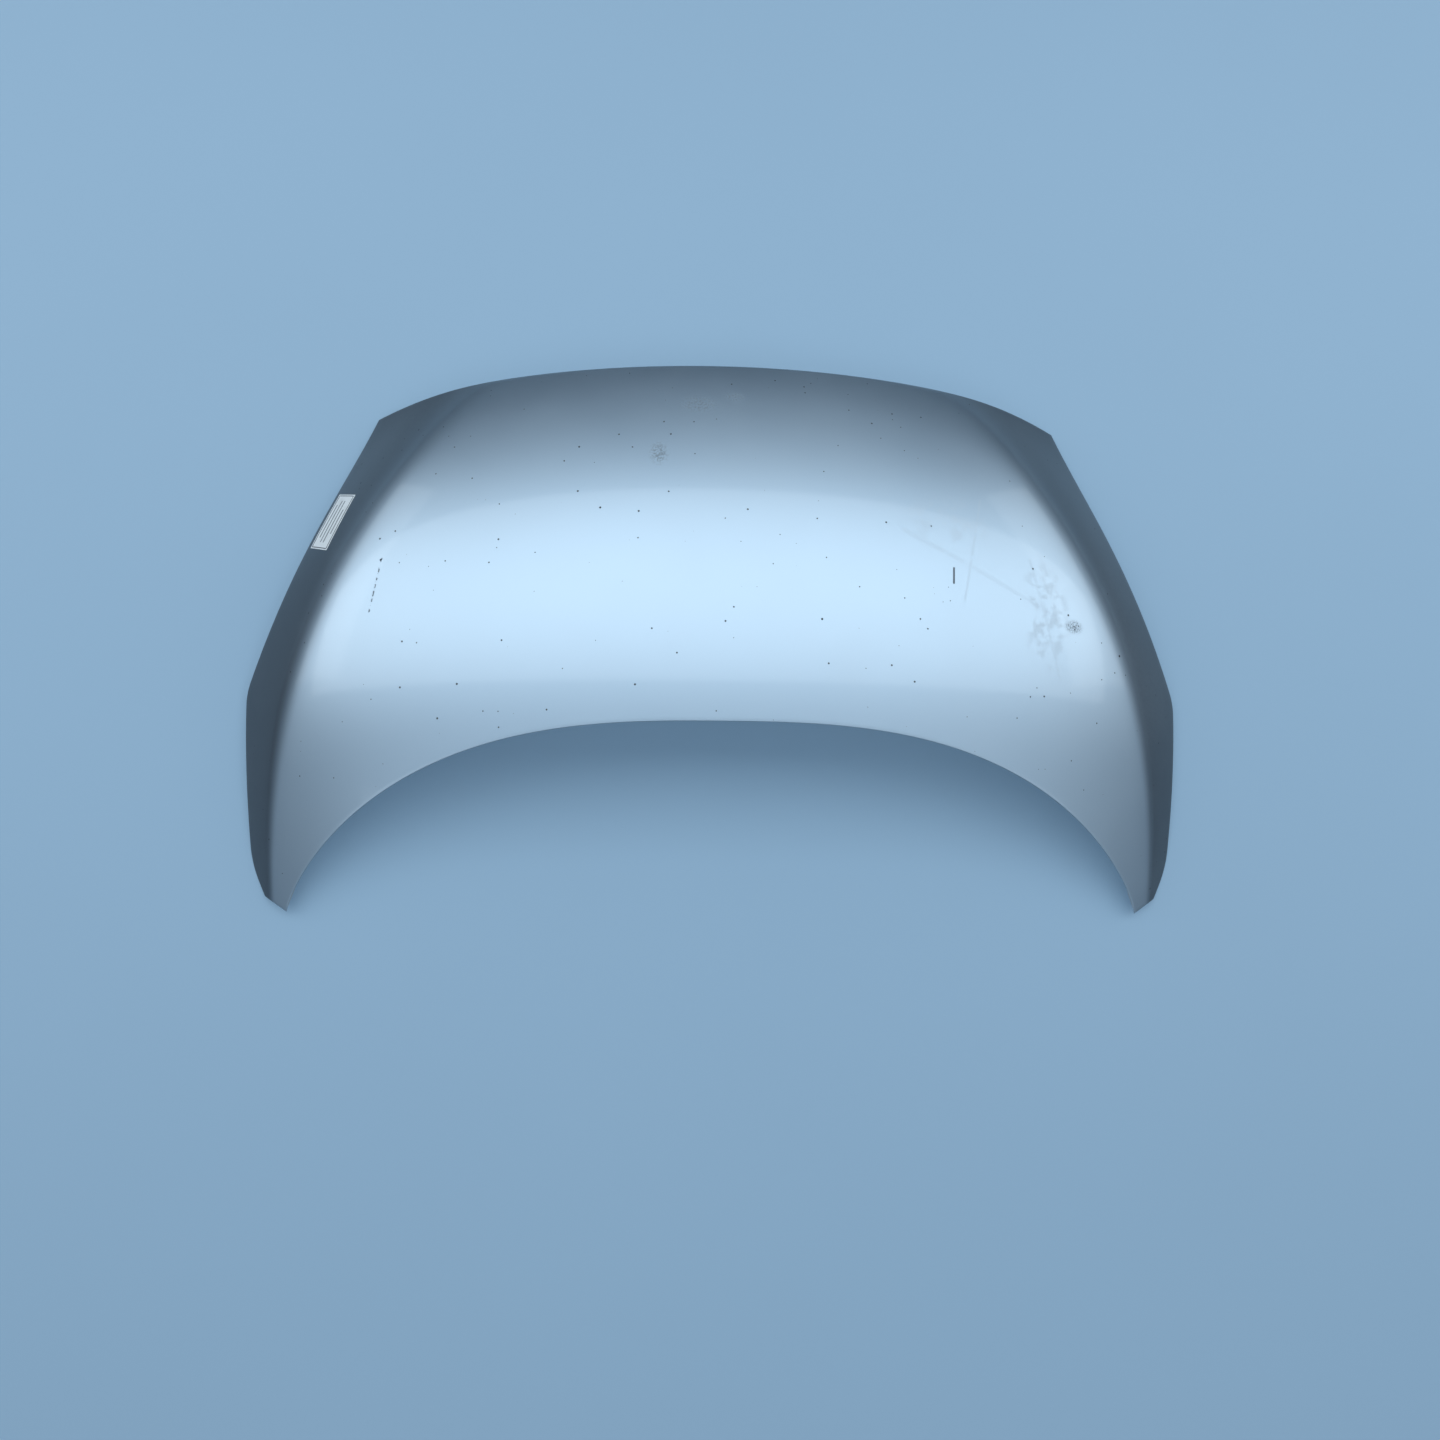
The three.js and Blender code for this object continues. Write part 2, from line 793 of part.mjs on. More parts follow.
function rectangleShape(width, length, radius) {
  const shape = new THREE.Shape();
  const right = width / 2;
  const top = length / 2;
  shape.moveTo(-right + radius, -top);
  shape.lineTo(right - radius, -top);
  shape.absarc(right - radius, -top + radius, radius, -Math.PI / 2, 0);
  shape.lineTo(right, top - radius);
  shape.absarc(right - radius, top - radius, radius, 0, Math.PI / 2);
  shape.lineTo(-right + radius, top);
  shape.absarc(-right + radius, top - radius, radius, Math.PI / 2, Math.PI);
  shape.lineTo(-right, -top + radius);
  shape.absarc(-right + radius, -top + radius, radius, Math.PI, Math.PI * 1.5);
  return shape;
}

function rectangleLoop(centre, width, length, radius) {
  const points = rectangleShape(width, length, radius).getPoints(cornerPoints);
  const loop = points.filter((point, index) => point.distanceTo(points[(index + 1) % points.length]) > 1e-3);
  return loop.map((point) => point.add(centre));
}

// Flat pad pressed into a rail, with a group whose Z is square to the pad and starts on its upper face
function makePad(x, y, outline, holes) {
  const step = 1;
  const slopeX = padSlopeShare * (surfaceHeight(x + step, y) - surfaceHeight(x - step, y)) / (2 * step);
  const slopeY = padSlopeShare * (surfaceHeight(x, y + step) - surfaceHeight(x, y - step)) / (2 * step);
  const centre = new THREE.Vector2(x, y);
  const height = onRail(centre).z - padRaise;
  const normal = new THREE.Vector3(-slopeX, -slopeY, 1).normalize();
  const frame = new THREE.Group();
  frame.position.set(x, y, height);
  frame.quaternion.setFromUnitVectors(new THREE.Vector3(0, 0, 1), normal);
  frame.updateMatrixWorld(true);
  bonnet.add(frame);
  const onPad = (point) => new THREE.Vector3(
    point.x,
    point.y,
    height + slopeX * (point.x - x) + slopeY * (point.y - y),
  );
  const lean = innerThickness * Math.hypot(slopeX, slopeY);
  return {
    frame,
    underside: -innerThickness * normal.z,
    outer: outline(centre, padWallRun).map(onRail),
    inner: outline(centre, 0).map(onPad),
    holes: holes.map(({ across, along, radius }) => {
      const place = frame.localToWorld(new THREE.Vector3(across, along, 0));
      return circleLoop(place, radius + clearance + lean, roundSides).map(onPad);
    }),
  };
}

function rectanglePad(x, y, width, length, holes) {
  const shape = (centre, extra) => rectangleLoop(
    centre,
    width + 2 * extra,
    length + 2 * extra,
    padCornerRadius + extra,
  );
  return makePad(x, y, shape, holes);
}

function roundPad(x, y, holeRadius) {
  const shape = (centre, extra) => circleLoop(centre, roundPadRadius + extra, roundSides);
  return makePad(x, y, shape, [{ across: 0, along: 0, radius: holeRadius }]);
}

const boltRadius = boltDiameter / 2;
const strikerRodRadius = strikerRodDiameter / 2;
const strikerPlateLength = strikerRearMargin + strikerLegPitch + strikerFrontMargin;
const latchPadLength = strikerPlateLength + 2 * strikerPlateMargin;
const sideNames = [['left', -1], ['right', 1]];
const hingeHoles = [-1, 1].map((way) => (
  { across: 0, along: way * hingeBoltPitch / 2, radius: boltRadius }
));
const latchHoles = [-1, 1].map((way) => (
  { across: way * latchBoltPitch / 2, along: 0, radius: boltRadius }
));
const hingePads = sideNames.map(([, side]) => rectanglePad(
  side * (hornCreaseHalfWidth - hingeInset),
  hingeDistance,
  hingePadWidth,
  hingePadLength,
  hingeHoles,
));
const latchPad = rectanglePad(0, panelLength - latchSetback, latchPadWidth, latchPadLength, latchHoles);
const frontBufferHalfWidth = frontCornerHalfWidth - frontBufferInset;
const frontBufferPads = sideNames.map(([, side]) => roundPad(
  side * frontBufferHalfWidth,
  frontEdge(frontBufferHalfWidth) - fittingInset,
  bufferNeckRadius,
));
const sideBufferPads = sideNames.map(([, side]) => roundPad(
  side * (sideEdge(sideBufferDistance) - fittingInset),
  sideBufferDistance,
  bufferNeckRadius,
));
const plugPads = sideNames.map(([, side]) => roundPad(
  side * plugHalfWidth,
  frontEdge(plugHalfWidth) - fittingInset,
  plugNeckRadius,
));
const propPad = roundPad(sideEdge(propDistance) - fittingInset, propDistance, socketNeckRadius);
const pads = [...hingePads, latchPad, ...frontBufferPads, ...sideBufferPads, ...plugPads, propPad];

// Inner panel: flange inside the hem, wall, hollow rails and ribs, pads, rims and lightening holes
const flangeInset = hemInside + clearance;
const flangeDrop = skinThickness + clearance;

function buildInnerPanel() {
  const sheet = new PressedSheet(innerThickness);
  const flangeEdge = edgeRing(flangeInset, flangeDrop);
  const flangeGrid = insetGrid(flangeInset);
  addCells(sheet.faces, flangeGrid, flangeDrop, true, true);
  addCells(sheet.faces, flangeGrid, flangeDrop + innerThickness, false, true);
  sheet.outerEdge(flangeEdge);
  const flangeEnd = gridRing(1, flangeDrop);
  const flangeLine = gridLoop(1).map(([column, row]) => gridPoint(column, row));
  const railStart = insetLoop(flangeLine, (point) => tapered(point, hornWallRun, wallRun)).map(onRail);
  sheet.band(flangeEnd, railStart);
  const openings = [];
  for (const [wall, rim, hole] of bays) {
    const wallLoop = wall.map(onRail);
    const rimLoop = rim.map((point) => raised(point, rimDepth));
    const holeLoop = hole.map((point) => raised(point, rimDepth));
    sheet.band(wallLoop, rimLoop);
    sheet.band(rimLoop, holeLoop);
    sheet.holeEdge(holeLoop);
    openings.push(wallLoop);
  }
  for (const pad of pads) {
    sheet.band(pad.outer, pad.inner);
    fillField(sheet, pad.inner, pad.holes);
    pad.holes.forEach((hole) => sheet.holeEdge(hole));
    openings.push(pad.outer);
  }
  fillField(sheet, railStart, openings);
  return sheet.faces.geometry();
}

const innerPanel = addMesh('inner_panel', buildInnerPanel(), innerPaint);

// Closed solids for joining and cutting
function toSolid(geometry) {
  const plain = geometry.clone();
  plain.deleteAttribute('normal');
  plain.deleteAttribute('uv');
  const merged = mergeVertices(plain, mergeDistance);
  const count = merged.attributes.position.count;
  const index = merged.index ?? Array.from({ length: count }, (unused, number) => number);
  return new wasm.Manifold(new wasm.Mesh({
    numProp: 3,
    vertProperties: new Float32Array(merged.attributes.position.array),
    triVerts: new Uint32Array(index.array ?? index),
  }));
}

function toGeometry(solid) {
  const mesh = solid.getMesh();
  const geometry = new THREE.BufferGeometry();
  geometry.setAttribute('position', new THREE.BufferAttribute(mesh.vertProperties, 3));
  geometry.setIndex(new THREE.BufferAttribute(mesh.triVerts, 1));
  geometry.computeVertexNormals();
  return geometry;
}

function joined(...geometries) {
  return toGeometry(geometries.map(toSolid).reduce((sum, solid) => sum.add(solid)));
}

function cutBy(geometry, ...cutters) {
  return toGeometry(cutters.map(toSolid).reduce((sum, solid) => sum.subtract(solid), toSolid(geometry)));
}

function extruded(shape, depth) {
  return new THREE.ExtrudeGeometry(shape, { depth, bevelEnabled: false, curveSegments: cornerPoints });
}

function holeIn(shape, x, y, radius) {
  const path = new THREE.Path();
  path.setFromPoints(circleLoop(new THREE.Vector2(x, y), radius, roundSides).reverse());
  shape.holes.push(path);
}

// Round bar along Z from one height to another
function roundBar(radius, from, to, sides = roundSides) {
  const bar = new THREE.CylinderGeometry(radius, radius, to - from, sides);
  bar.rotateX(Math.PI / 2);
  bar.translate(0, 0, (from + to) / 2);
  return bar;
}

function turned(profile) {
  const points = profile.map(([radius, height]) => new THREE.Vector2(radius, height));
  const body = new THREE.LatheGeometry(points, roundSides);
  body.rotateX(Math.PI / 2);
  return body;
}

function plateOn(pad, name, width, length, holes) {
  const shape = rectangleShape(width, length, padCornerRadius);
  holes.forEach(({ across, along, radius }) => holeIn(shape, across, along, radius + clearance));
  const plate = addMesh(name, extruded(shape, plateThickness), zinc, pad.frame);
  plate.position.z = clearance;
}

const nutSeat = plateThickness + 2 * clearance;

function hexagonShape() {
  return new THREE.Shape(circleLoop(new THREE.Vector2(), nutAcrossFlats / Math.sqrt(3), 6));
}

function weldNut(pad, name, { across, along, radius }) {
  const shape = hexagonShape();
  holeIn(shape, 0, 0, radius + clearance);
  const nut = addMesh(name, extruded(shape, nutHeight), steel, pad.frame);
  nut.position.set(across, along, nutSeat);
}

// Steel plates and welded nuts behind the hinge pads and the latch pad
hingePads.forEach((pad, index) => {
  const [side] = sideNames[index];
  const width = hingePadWidth - 2 * plateMargin;
  const length = hingePadLength - 2 * plateMargin;
  plateOn(pad, `hinge_reinforcement_${side}`, width, length, hingeHoles);
  hingeHoles.forEach((hole, number) => {
    weldNut(pad, `hinge_weld_nut_${side}_${number + 1}`, hole);
  });
});
plateOn(
  latchPad,
  'latch_reinforcement',
  latchPadWidth - 2 * plateMargin,
  latchPadLength - 2 * plateMargin,
  latchHoles,
);
latchHoles.forEach((hole, number) => weldNut(latchPad, `latch_weld_nut_${number + 1}`, hole));

// Striker: a plate with an ear for the safety catch, and a bent rod through the plate
const strikerTop = latchPad.underside - clearance;
const strikerBottom = strikerTop - strikerPlateThickness;
const rearLeg = strikerRearMargin - strikerPlateLength / 2;
const frontLeg = rearLeg + strikerLegPitch;
const earRear = frontLeg + strikerRodRadius + earGap;
const pivotHeight = strikerBottom - catchPivotDrop;
const pinRadius = catchPinDiameter / 2;

// Turns a solid built along Z so that it runs along Y, from the given place forwards
function layForward(geometry, x, y, z) {
  geometry.rotateX(-Math.PI / 2);
  geometry.translate(x, y, z);
  return geometry;
}

function buildStrikerPlate() {
  const shape = rectangleShape(
    latchPadWidth - 2 * strikerPlateMargin,
    strikerPlateLength,
    padCornerRadius,
  );
  latchHoles.forEach(({ across, along, radius }) => holeIn(shape, across, along, radius + clearance));
  [rearLeg, frontLeg].forEach((leg) => holeIn(shape, 0, leg, strikerRodRadius + clearance));
  const plate = extruded(shape, strikerPlateThickness);
  plate.translate(0, 0, strikerBottom);
  const earWidth = catchArmWidth + 2 * clearance;
  const earRise = catchPivotDrop + strikerPlateThickness / 2;
  const ear = new THREE.BoxGeometry(earWidth, earThickness, earRise);
  ear.translate(catchPivotOffset, earRear + earThickness / 2, pivotHeight + earRise / 2);
  const end = roundBar(earWidth / 2, 0, earThickness);
  const bore = roundBar(pinRadius + clearance, -earThickness, 2 * earThickness);
  [end, bore].forEach((bar) => layForward(bar, catchPivotOffset, earRear, pivotHeight));
  return cutBy(joined(plate, ear, end), bore);
}

addMesh('striker_plate', buildStrikerPlate(), zinc, latchPad.frame);

// Rod of the striker, down, forward and up again with round bends
class StrikerPath extends THREE.CurvePath {
  constructor() {
    super();
    const low = strikerBottom - strikerDrop + strikerRodRadius;
    const place = (y, z) => new THREE.Vector3(0, y, z);
    this.add(new THREE.LineCurve3(place(rearLeg, strikerTop), place(rearLeg, low + strikerBend)));
    this.add(new THREE.QuadraticBezierCurve3(
      place(rearLeg, low + strikerBend),
      place(rearLeg, low),
      place(rearLeg + strikerBend, low),
    ));
    this.add(new THREE.LineCurve3(place(rearLeg + strikerBend, low), place(frontLeg - strikerBend, low)));
    this.add(new THREE.QuadraticBezierCurve3(
      place(frontLeg - strikerBend, low),
      place(frontLeg, low),
      place(frontLeg, low + strikerBend),
    ));
    this.add(new THREE.LineCurve3(place(frontLeg, low + strikerBend), place(frontLeg, strikerTop)));
  }
}

function rodAlong(path, radius, sides, steps) {
  const section = new THREE.Shape(circleLoop(new THREE.Vector2(), radius, sides));
  return new THREE.ExtrudeGeometry(section, { extrudePath: path, steps, bevelEnabled: false });
}

const strikerRod = rodAlong(new StrikerPath(), strikerRodRadius, rodSides, rodSteps);
addMesh('striker_loop', strikerRod, steel, latchPad.frame);

// Flanged hexagon bolts from below into the welded nuts
function buildBolt() {
  const seat = strikerBottom - clearance;
  const hexagon = extruded(hexagonShape(), boltHeadHeight + joinOverlap);
  hexagon.translate(0, 0, seat - boltFlangeHeight - boltHeadHeight);
  const flange = roundBar(boltFlangeRadius, seat - boltFlangeHeight, seat);
  const shank = roundBar(boltRadius, seat - joinOverlap, nutSeat + nutHeight);
  return joined(hexagon, flange, shank);
}

latchHoles.forEach(({ across, along }, number) => {
  const bolt = addMesh(`striker_bolt_${number + 1}`, buildBolt(), zinc, latchPad.frame);
  bolt.position.set(across, along, 0);
});

// Safety catch: a hooked arm on the pivot pin with a lever that reaches towards the front edge
const catchRear = earRear + earThickness + clearance;
const leverTop = -catchArmLength + catchLeverHeight + catchLeverLift;
const leverEnd = catchThickness + catchLeverLength;

function buildCatch() {
  const half = catchArmWidth / 2;
  const shape = new THREE.Shape();
  shape.absarc(0, 0, half, 0, Math.PI);
  shape.lineTo(-half, -catchArmLength + half);
  shape.lineTo(-catchHookLength, -catchArmLength + catchNoseRise);
  shape.lineTo(-catchHookLength, -catchArmLength + catchNoseRise - catchNoseHeight);
  shape.lineTo(-catchToeReach, -catchArmLength - half);
  shape.lineTo(half, -catchArmLength - catchHeelDrop);
  shape.lineTo(half, 0);
  const arm = extruded(shape, catchThickness);
  arm.rotateX(Math.PI / 2);
  arm.translate(0, catchThickness, 0);
  const lever = new THREE.BoxGeometry(catchThickness, leverEnd, catchLeverHeight);
  lever.translate(half - catchThickness / 2, leverEnd / 2, leverTop - catchLeverHeight / 2);
  const bore = layForward(roundBar(pinRadius + clearance, -catchThickness, 2 * catchThickness), 0, 0, 0);
  return cutBy(joined(arm, lever), bore);
}

function placeAtPivot(mesh) {
  mesh.position.set(catchPivotOffset, catchRear, pivotHeight);
}

placeAtPivot(addMesh('safety_catch', buildCatch(), zinc, latchPad.frame));

// Moulded grip with a slot that takes the end of the lever
function buildGrip() {
  const end = leverEnd + gripEndWall;
  const centreX = catchArmWidth / 2 - catchThickness / 2;
  const centreZ = leverTop - catchLeverHeight / 2;
  const shape = rectangleShape(gripWidth, gripHeight, gripCornerRadius);
  const body = extruded(shape, gripLength);
  body.rotateX(Math.PI / 2);
  body.translate(centreX, end, centreZ);
  const slotWidth = catchThickness + 2 * clearance;
  const slotHeight = catchLeverHeight + 2 * clearance;
  const slot = new THREE.BoxGeometry(slotWidth, gripLength, slotHeight);
  slot.translate(centreX, leverEnd + clearance - gripLength / 2, centreZ);
  return cutBy(body, slot);
}

placeAtPivot(addMesh('safety_catch_grip', buildGrip(), plastic, latchPad.frame));

// Riveted pin through the coil of the spring, the ear and the catch
const springLength = (springTurns + 1) * springPitch;
const pinFront = catchThickness + clearance;
const pinRear = -clearance - earThickness - clearance - springLength - clearance;
const pin = turned([
  [0, pinRear - pinHeadHeight],
  [pinHeadRadius, pinRear - pinHeadHeight],
  [pinHeadRadius, pinRear],
  [pinRadius, pinRear],
  [pinRadius, pinFront],
  [pinHeadRadius, pinFront],
  [pinHeadRadius, pinFront + pinHeadHeight],
  [0, pinFront + pinHeadHeight],
]);
placeAtPivot(addMesh('catch_pivot_pin', layForward(pin, 0, 0, 0), steel, latchPad.frame));

// Coiled return spring round the pin, with two straight legs
class SpringPath extends THREE.Curve {
  getPoint(share) {
    const coil = 2 * Math.PI * springRadius * springTurns;
    const total = coil + 2 * springLegLength;
    const travel = share * total - springLegLength;
    const onCoil = THREE.MathUtils.clamp(travel, 0, coil);
    const angle = onCoil / springRadius;
    const extra = travel - onCoil;
    const x = springRadius * Math.cos(angle) - extra * Math.sin(angle);
    const z = springRadius * Math.sin(angle) + extra * Math.cos(angle);
    return new THREE.Vector3(x, onCoil / coil * springTurns * springPitch, z);
  }
}

const springSteps = springTurnSteps * springTurns + springLegSteps;
const spring = rodAlong(new SpringPath(), springWire / 2, springSides, springSteps);
spring.translate(0, pinRear + clearance + springPitch / 2, 0);
placeAtPivot(addMesh('catch_spring', spring, steel, latchPad.frame));

// Rubber buffer: a head below the sheet, a neck through it and a barb above
function buildBuffer(pad) {
  const seat = pad.underside - clearance;
  return turned([
    [0, seat - bufferHeight],
    [bufferRadius - bufferEdge, seat - bufferHeight],
    [bufferRadius, seat - bufferHeight + bufferEdge],
    [bufferRadius, seat],
    [bufferNeckRadius, seat],
    [bufferNeckRadius, clearance],
    [bufferBarbRadius, clearance],
    [bufferTipRadius, clearance + bufferBarbHeight],
    [0, clearance + bufferBarbHeight],
  ]);
}

// Plug that closes a working hole in the front rail
function buildPlug(pad) {
  const seat = pad.underside - clearance;
  return turned([
    [0, seat - plugHeight + plugDish],
    [plugNeckRadius - plugDish, seat - plugHeight + plugDish],
    [plugNeckRadius, seat - plugHeight],
    [plugRadius - plugDish, seat - plugHeight],
    [plugRadius, seat],
    [plugNeckRadius, seat],
    [plugNeckRadius, clearance],
    [plugNeckRadius + plugDish, clearance],
    [plugNeckRadius - plugDish, clearance + plugHeight],
    [0, clearance + plugHeight],
  ]);
}

// Socket for the end of the prop rod, open below
function buildSocket(pad) {
  const seat = pad.underside - clearance;
  const floor = clearance + socketHeight - socketFlange;
  return turned([
    [socketBore, seat - socketFlange],
    [socketRadius, seat - socketFlange],
    [socketRadius, seat],
    [socketNeckRadius, seat],
    [socketNeckRadius, clearance + socketHeight],
    [0, clearance + socketHeight],
    [0, floor],
    [socketBore, floor],
    [socketBore, seat - socketFlange],
  ]);
}

sideNames.forEach(([side], index) => {
  const front = frontBufferPads[index];
  const middle = sideBufferPads[index];
  const plugPad = plugPads[index];
  addMesh(`front_buffer_${side}`, buildBuffer(front), rubber, front.frame);
  addMesh(`side_buffer_${side}`, buildBuffer(middle), rubber, middle.frame);
  addMesh(`blanking_plug_${side}`, buildPlug(plugPad), plastic, plugPad.frame);
});
addMesh('prop_rod_socket', buildSocket(propPad), plastic, propPad.frame);

// Height of the first face of a sheet that is met at a place, going up or down
function faceHeight(mesh, point, way) {
  const start = new THREE.Vector3(point.x, point.y, -way * 2 * crownHeight);
  const caster = new THREE.Raycaster(start, new THREE.Vector3(0, 0, way));
  return caster.intersectObject(mesh)[0].point.z;
}

function onFace(mesh, point, way, distance) {
  return new THREE.Vector3(point.x, point.y, faceHeight(mesh, point, way) + distance);
}

// Solid between a lower and an upper loop of the same length, closed by fans at both ends
function pillow(lower, upper, lowerCentre, upperCentre) {
  const faces = new FaceList();
  faces.band(lower, upper);
  lower.forEach((point, index) => {
    const next = (index + 1) % lower.length;
    faces.triangle(lowerCentre, lower[next], point);
    faces.triangle(upperCentre, upper[index], upper[next]);
  });
  return faces.geometry();
}

// Mastic between the rims of the inner panel and the outer sheet
bonnet.updateMatrixWorld(true);
bays.forEach(([, rim, hole], number) => {
  const place = Math.floor(bayPoints / 2);
  const centre = rim[place].clone().lerp(hole[place], 0.5);
  const low = (point) => onFace(innerPanel, point, -1, clearance);
  const high = (point) => onFace(skin, point, 1, -clearance);
  const loop = circleLoop(centre, masticRadius, rodSides);
  const body = pillow(loop.map(low), loop.map(high), low(centre), high(centre));
  addMesh(`mastic_pad_${String(number + 1).padStart(2, '0')}`, body, mastic);
});

// Stock label on the left side strip, laid along the edge
function buildLabel() {
  const way = new THREE.Vector2(
    sideEdge(labelDistance + labelLength / 2) - sideEdge(labelDistance - labelLength / 2),
    labelLength,
  ).normalize();
  const centre = new THREE.Vector2(-sideEdge(labelDistance) + labelInset, labelDistance);
  const along = new THREE.Vector2(-way.x, way.y);
  const across = new THREE.Vector2(along.y, -along.x);
  const rows = sampled(labelLanes, (share) => sampled(labelSteps, (part) => centre.clone()
    .addScaledVector(across, (share - 0.5) * labelWidth)
    .addScaledVector(along, (part - 0.5) * labelLength)));
  const onSkin = (point, rise) => onFace(skin, point, -1, rise);
  const faces = new FaceList();
  for (let row = 0; row < rows.length - 1; row += 1) {
    for (let step = 0; step < labelSteps; step += 1) {
      const corners = [rows[row][step], rows[row + 1][step], rows[row + 1][step + 1], rows[row][step + 1]];
      const top = corners.map((point) => onSkin(point, clearance + labelThickness));
      const bottom = corners.map((point) => onSkin(point, clearance));
      faces.quad(top[0], top[1], top[2], top[3]);
      faces.quad(bottom[0], bottom[3], bottom[2], bottom[1]);
    }
  }
  const edge = [
    ...rows.map((row) => row[0]),
    ...rows[rows.length - 1].slice(1),
    ...rows.slice(0, -1).reverse().map((row) => row[labelSteps]),
    ...rows[0].slice(1, -1).reverse(),
  ];
  const rise = (distance) => edge.map((point) => onSkin(point, distance));
  faces.band(rise(clearance), rise(clearance + labelThickness));
  return faces.geometry();
}

addMesh('stock_label', buildLabel(), paper);

// The origin lies under the middle of the bonnet, on the surface that it rests on
const bounds = new THREE.Box3().setFromObject(bonnet);
const middle = bounds.getCenter(new THREE.Vector3());
bonnet.position.set(-middle.x, -middle.y, -bounds.min.z);
bonnet.updateMatrixWorld(true);

export default bonnet;
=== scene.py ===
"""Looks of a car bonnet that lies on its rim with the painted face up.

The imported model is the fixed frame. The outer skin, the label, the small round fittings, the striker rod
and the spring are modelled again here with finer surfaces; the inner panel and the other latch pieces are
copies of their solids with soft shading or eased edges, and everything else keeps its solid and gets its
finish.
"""

from __future__ import annotations

import json
import logging
import math
from collections.abc import Iterable, Sequence
from dataclasses import dataclass
from enum import Enum

import bmesh
import bpy
import numpy as np
from bpy.types import Material, Node, NodeSocket, NodeTree
from bpy.types import Object as Piece
from mathutils import Matrix, Vector

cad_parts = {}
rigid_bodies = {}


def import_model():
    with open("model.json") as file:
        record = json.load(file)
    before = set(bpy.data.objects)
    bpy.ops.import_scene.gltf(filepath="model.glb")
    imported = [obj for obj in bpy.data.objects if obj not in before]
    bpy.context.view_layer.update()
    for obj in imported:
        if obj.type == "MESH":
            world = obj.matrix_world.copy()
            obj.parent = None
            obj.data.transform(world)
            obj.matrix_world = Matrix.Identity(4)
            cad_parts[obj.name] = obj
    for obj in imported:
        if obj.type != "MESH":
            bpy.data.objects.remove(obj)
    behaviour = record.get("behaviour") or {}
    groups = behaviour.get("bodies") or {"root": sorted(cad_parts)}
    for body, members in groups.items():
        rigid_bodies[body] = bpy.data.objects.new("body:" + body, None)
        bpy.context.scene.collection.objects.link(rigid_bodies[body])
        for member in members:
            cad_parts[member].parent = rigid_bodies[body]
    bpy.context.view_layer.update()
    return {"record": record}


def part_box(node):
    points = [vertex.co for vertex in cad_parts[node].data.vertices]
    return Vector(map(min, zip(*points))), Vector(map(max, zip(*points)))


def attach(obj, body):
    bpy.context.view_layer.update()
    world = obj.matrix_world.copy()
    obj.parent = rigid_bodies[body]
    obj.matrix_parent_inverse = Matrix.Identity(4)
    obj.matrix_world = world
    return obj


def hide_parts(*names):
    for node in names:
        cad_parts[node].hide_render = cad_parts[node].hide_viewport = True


MM = 0.001
# Attribute that places the painted shade on the side strips.
STRIP_SHARE = "strip_share"
LOG = logging.getLogger("bonnet")

Rgb = tuple[float, float, float]
Place = tuple[float, float, float]
Pair = tuple[float, float]
Lengths = np.ndarray | float


class Side(Enum):
    """Side of the bonnet, as seen from above with the front edge away from the viewer."""

    LEFT = -1
    RIGHT = 1


class BodyName(Enum):
    """Bodies of the frame that the pieces ride on."""

    BONNET = "bonnet"
    CATCH = "catch"


# ---------------------------------------------------------------- form of the painted face


def soft_bend(distance: Lengths, softness: Lengths) -> Lengths:
    """Climb after a bend.

    Args:
        distance: How far past the bend.
        softness: How wide the bend is rounded off.

    Returns:
        Nothing well before the bend and the distance itself well after it.
    """
    return (distance + np.hypot(distance, softness)) / 2


def line_through(value: Lengths, start: Pair, end: Pair) -> Lengths:
    """Straight line through two points.

    Args:
        value: Where along the line.
        start, end: The two points, each as a value and a height.

    Returns:
        Height of the line at the value.
    """
    return start[1] + (end[1] - start[1]) * (value - start[0]) / (end[0] - start[0])


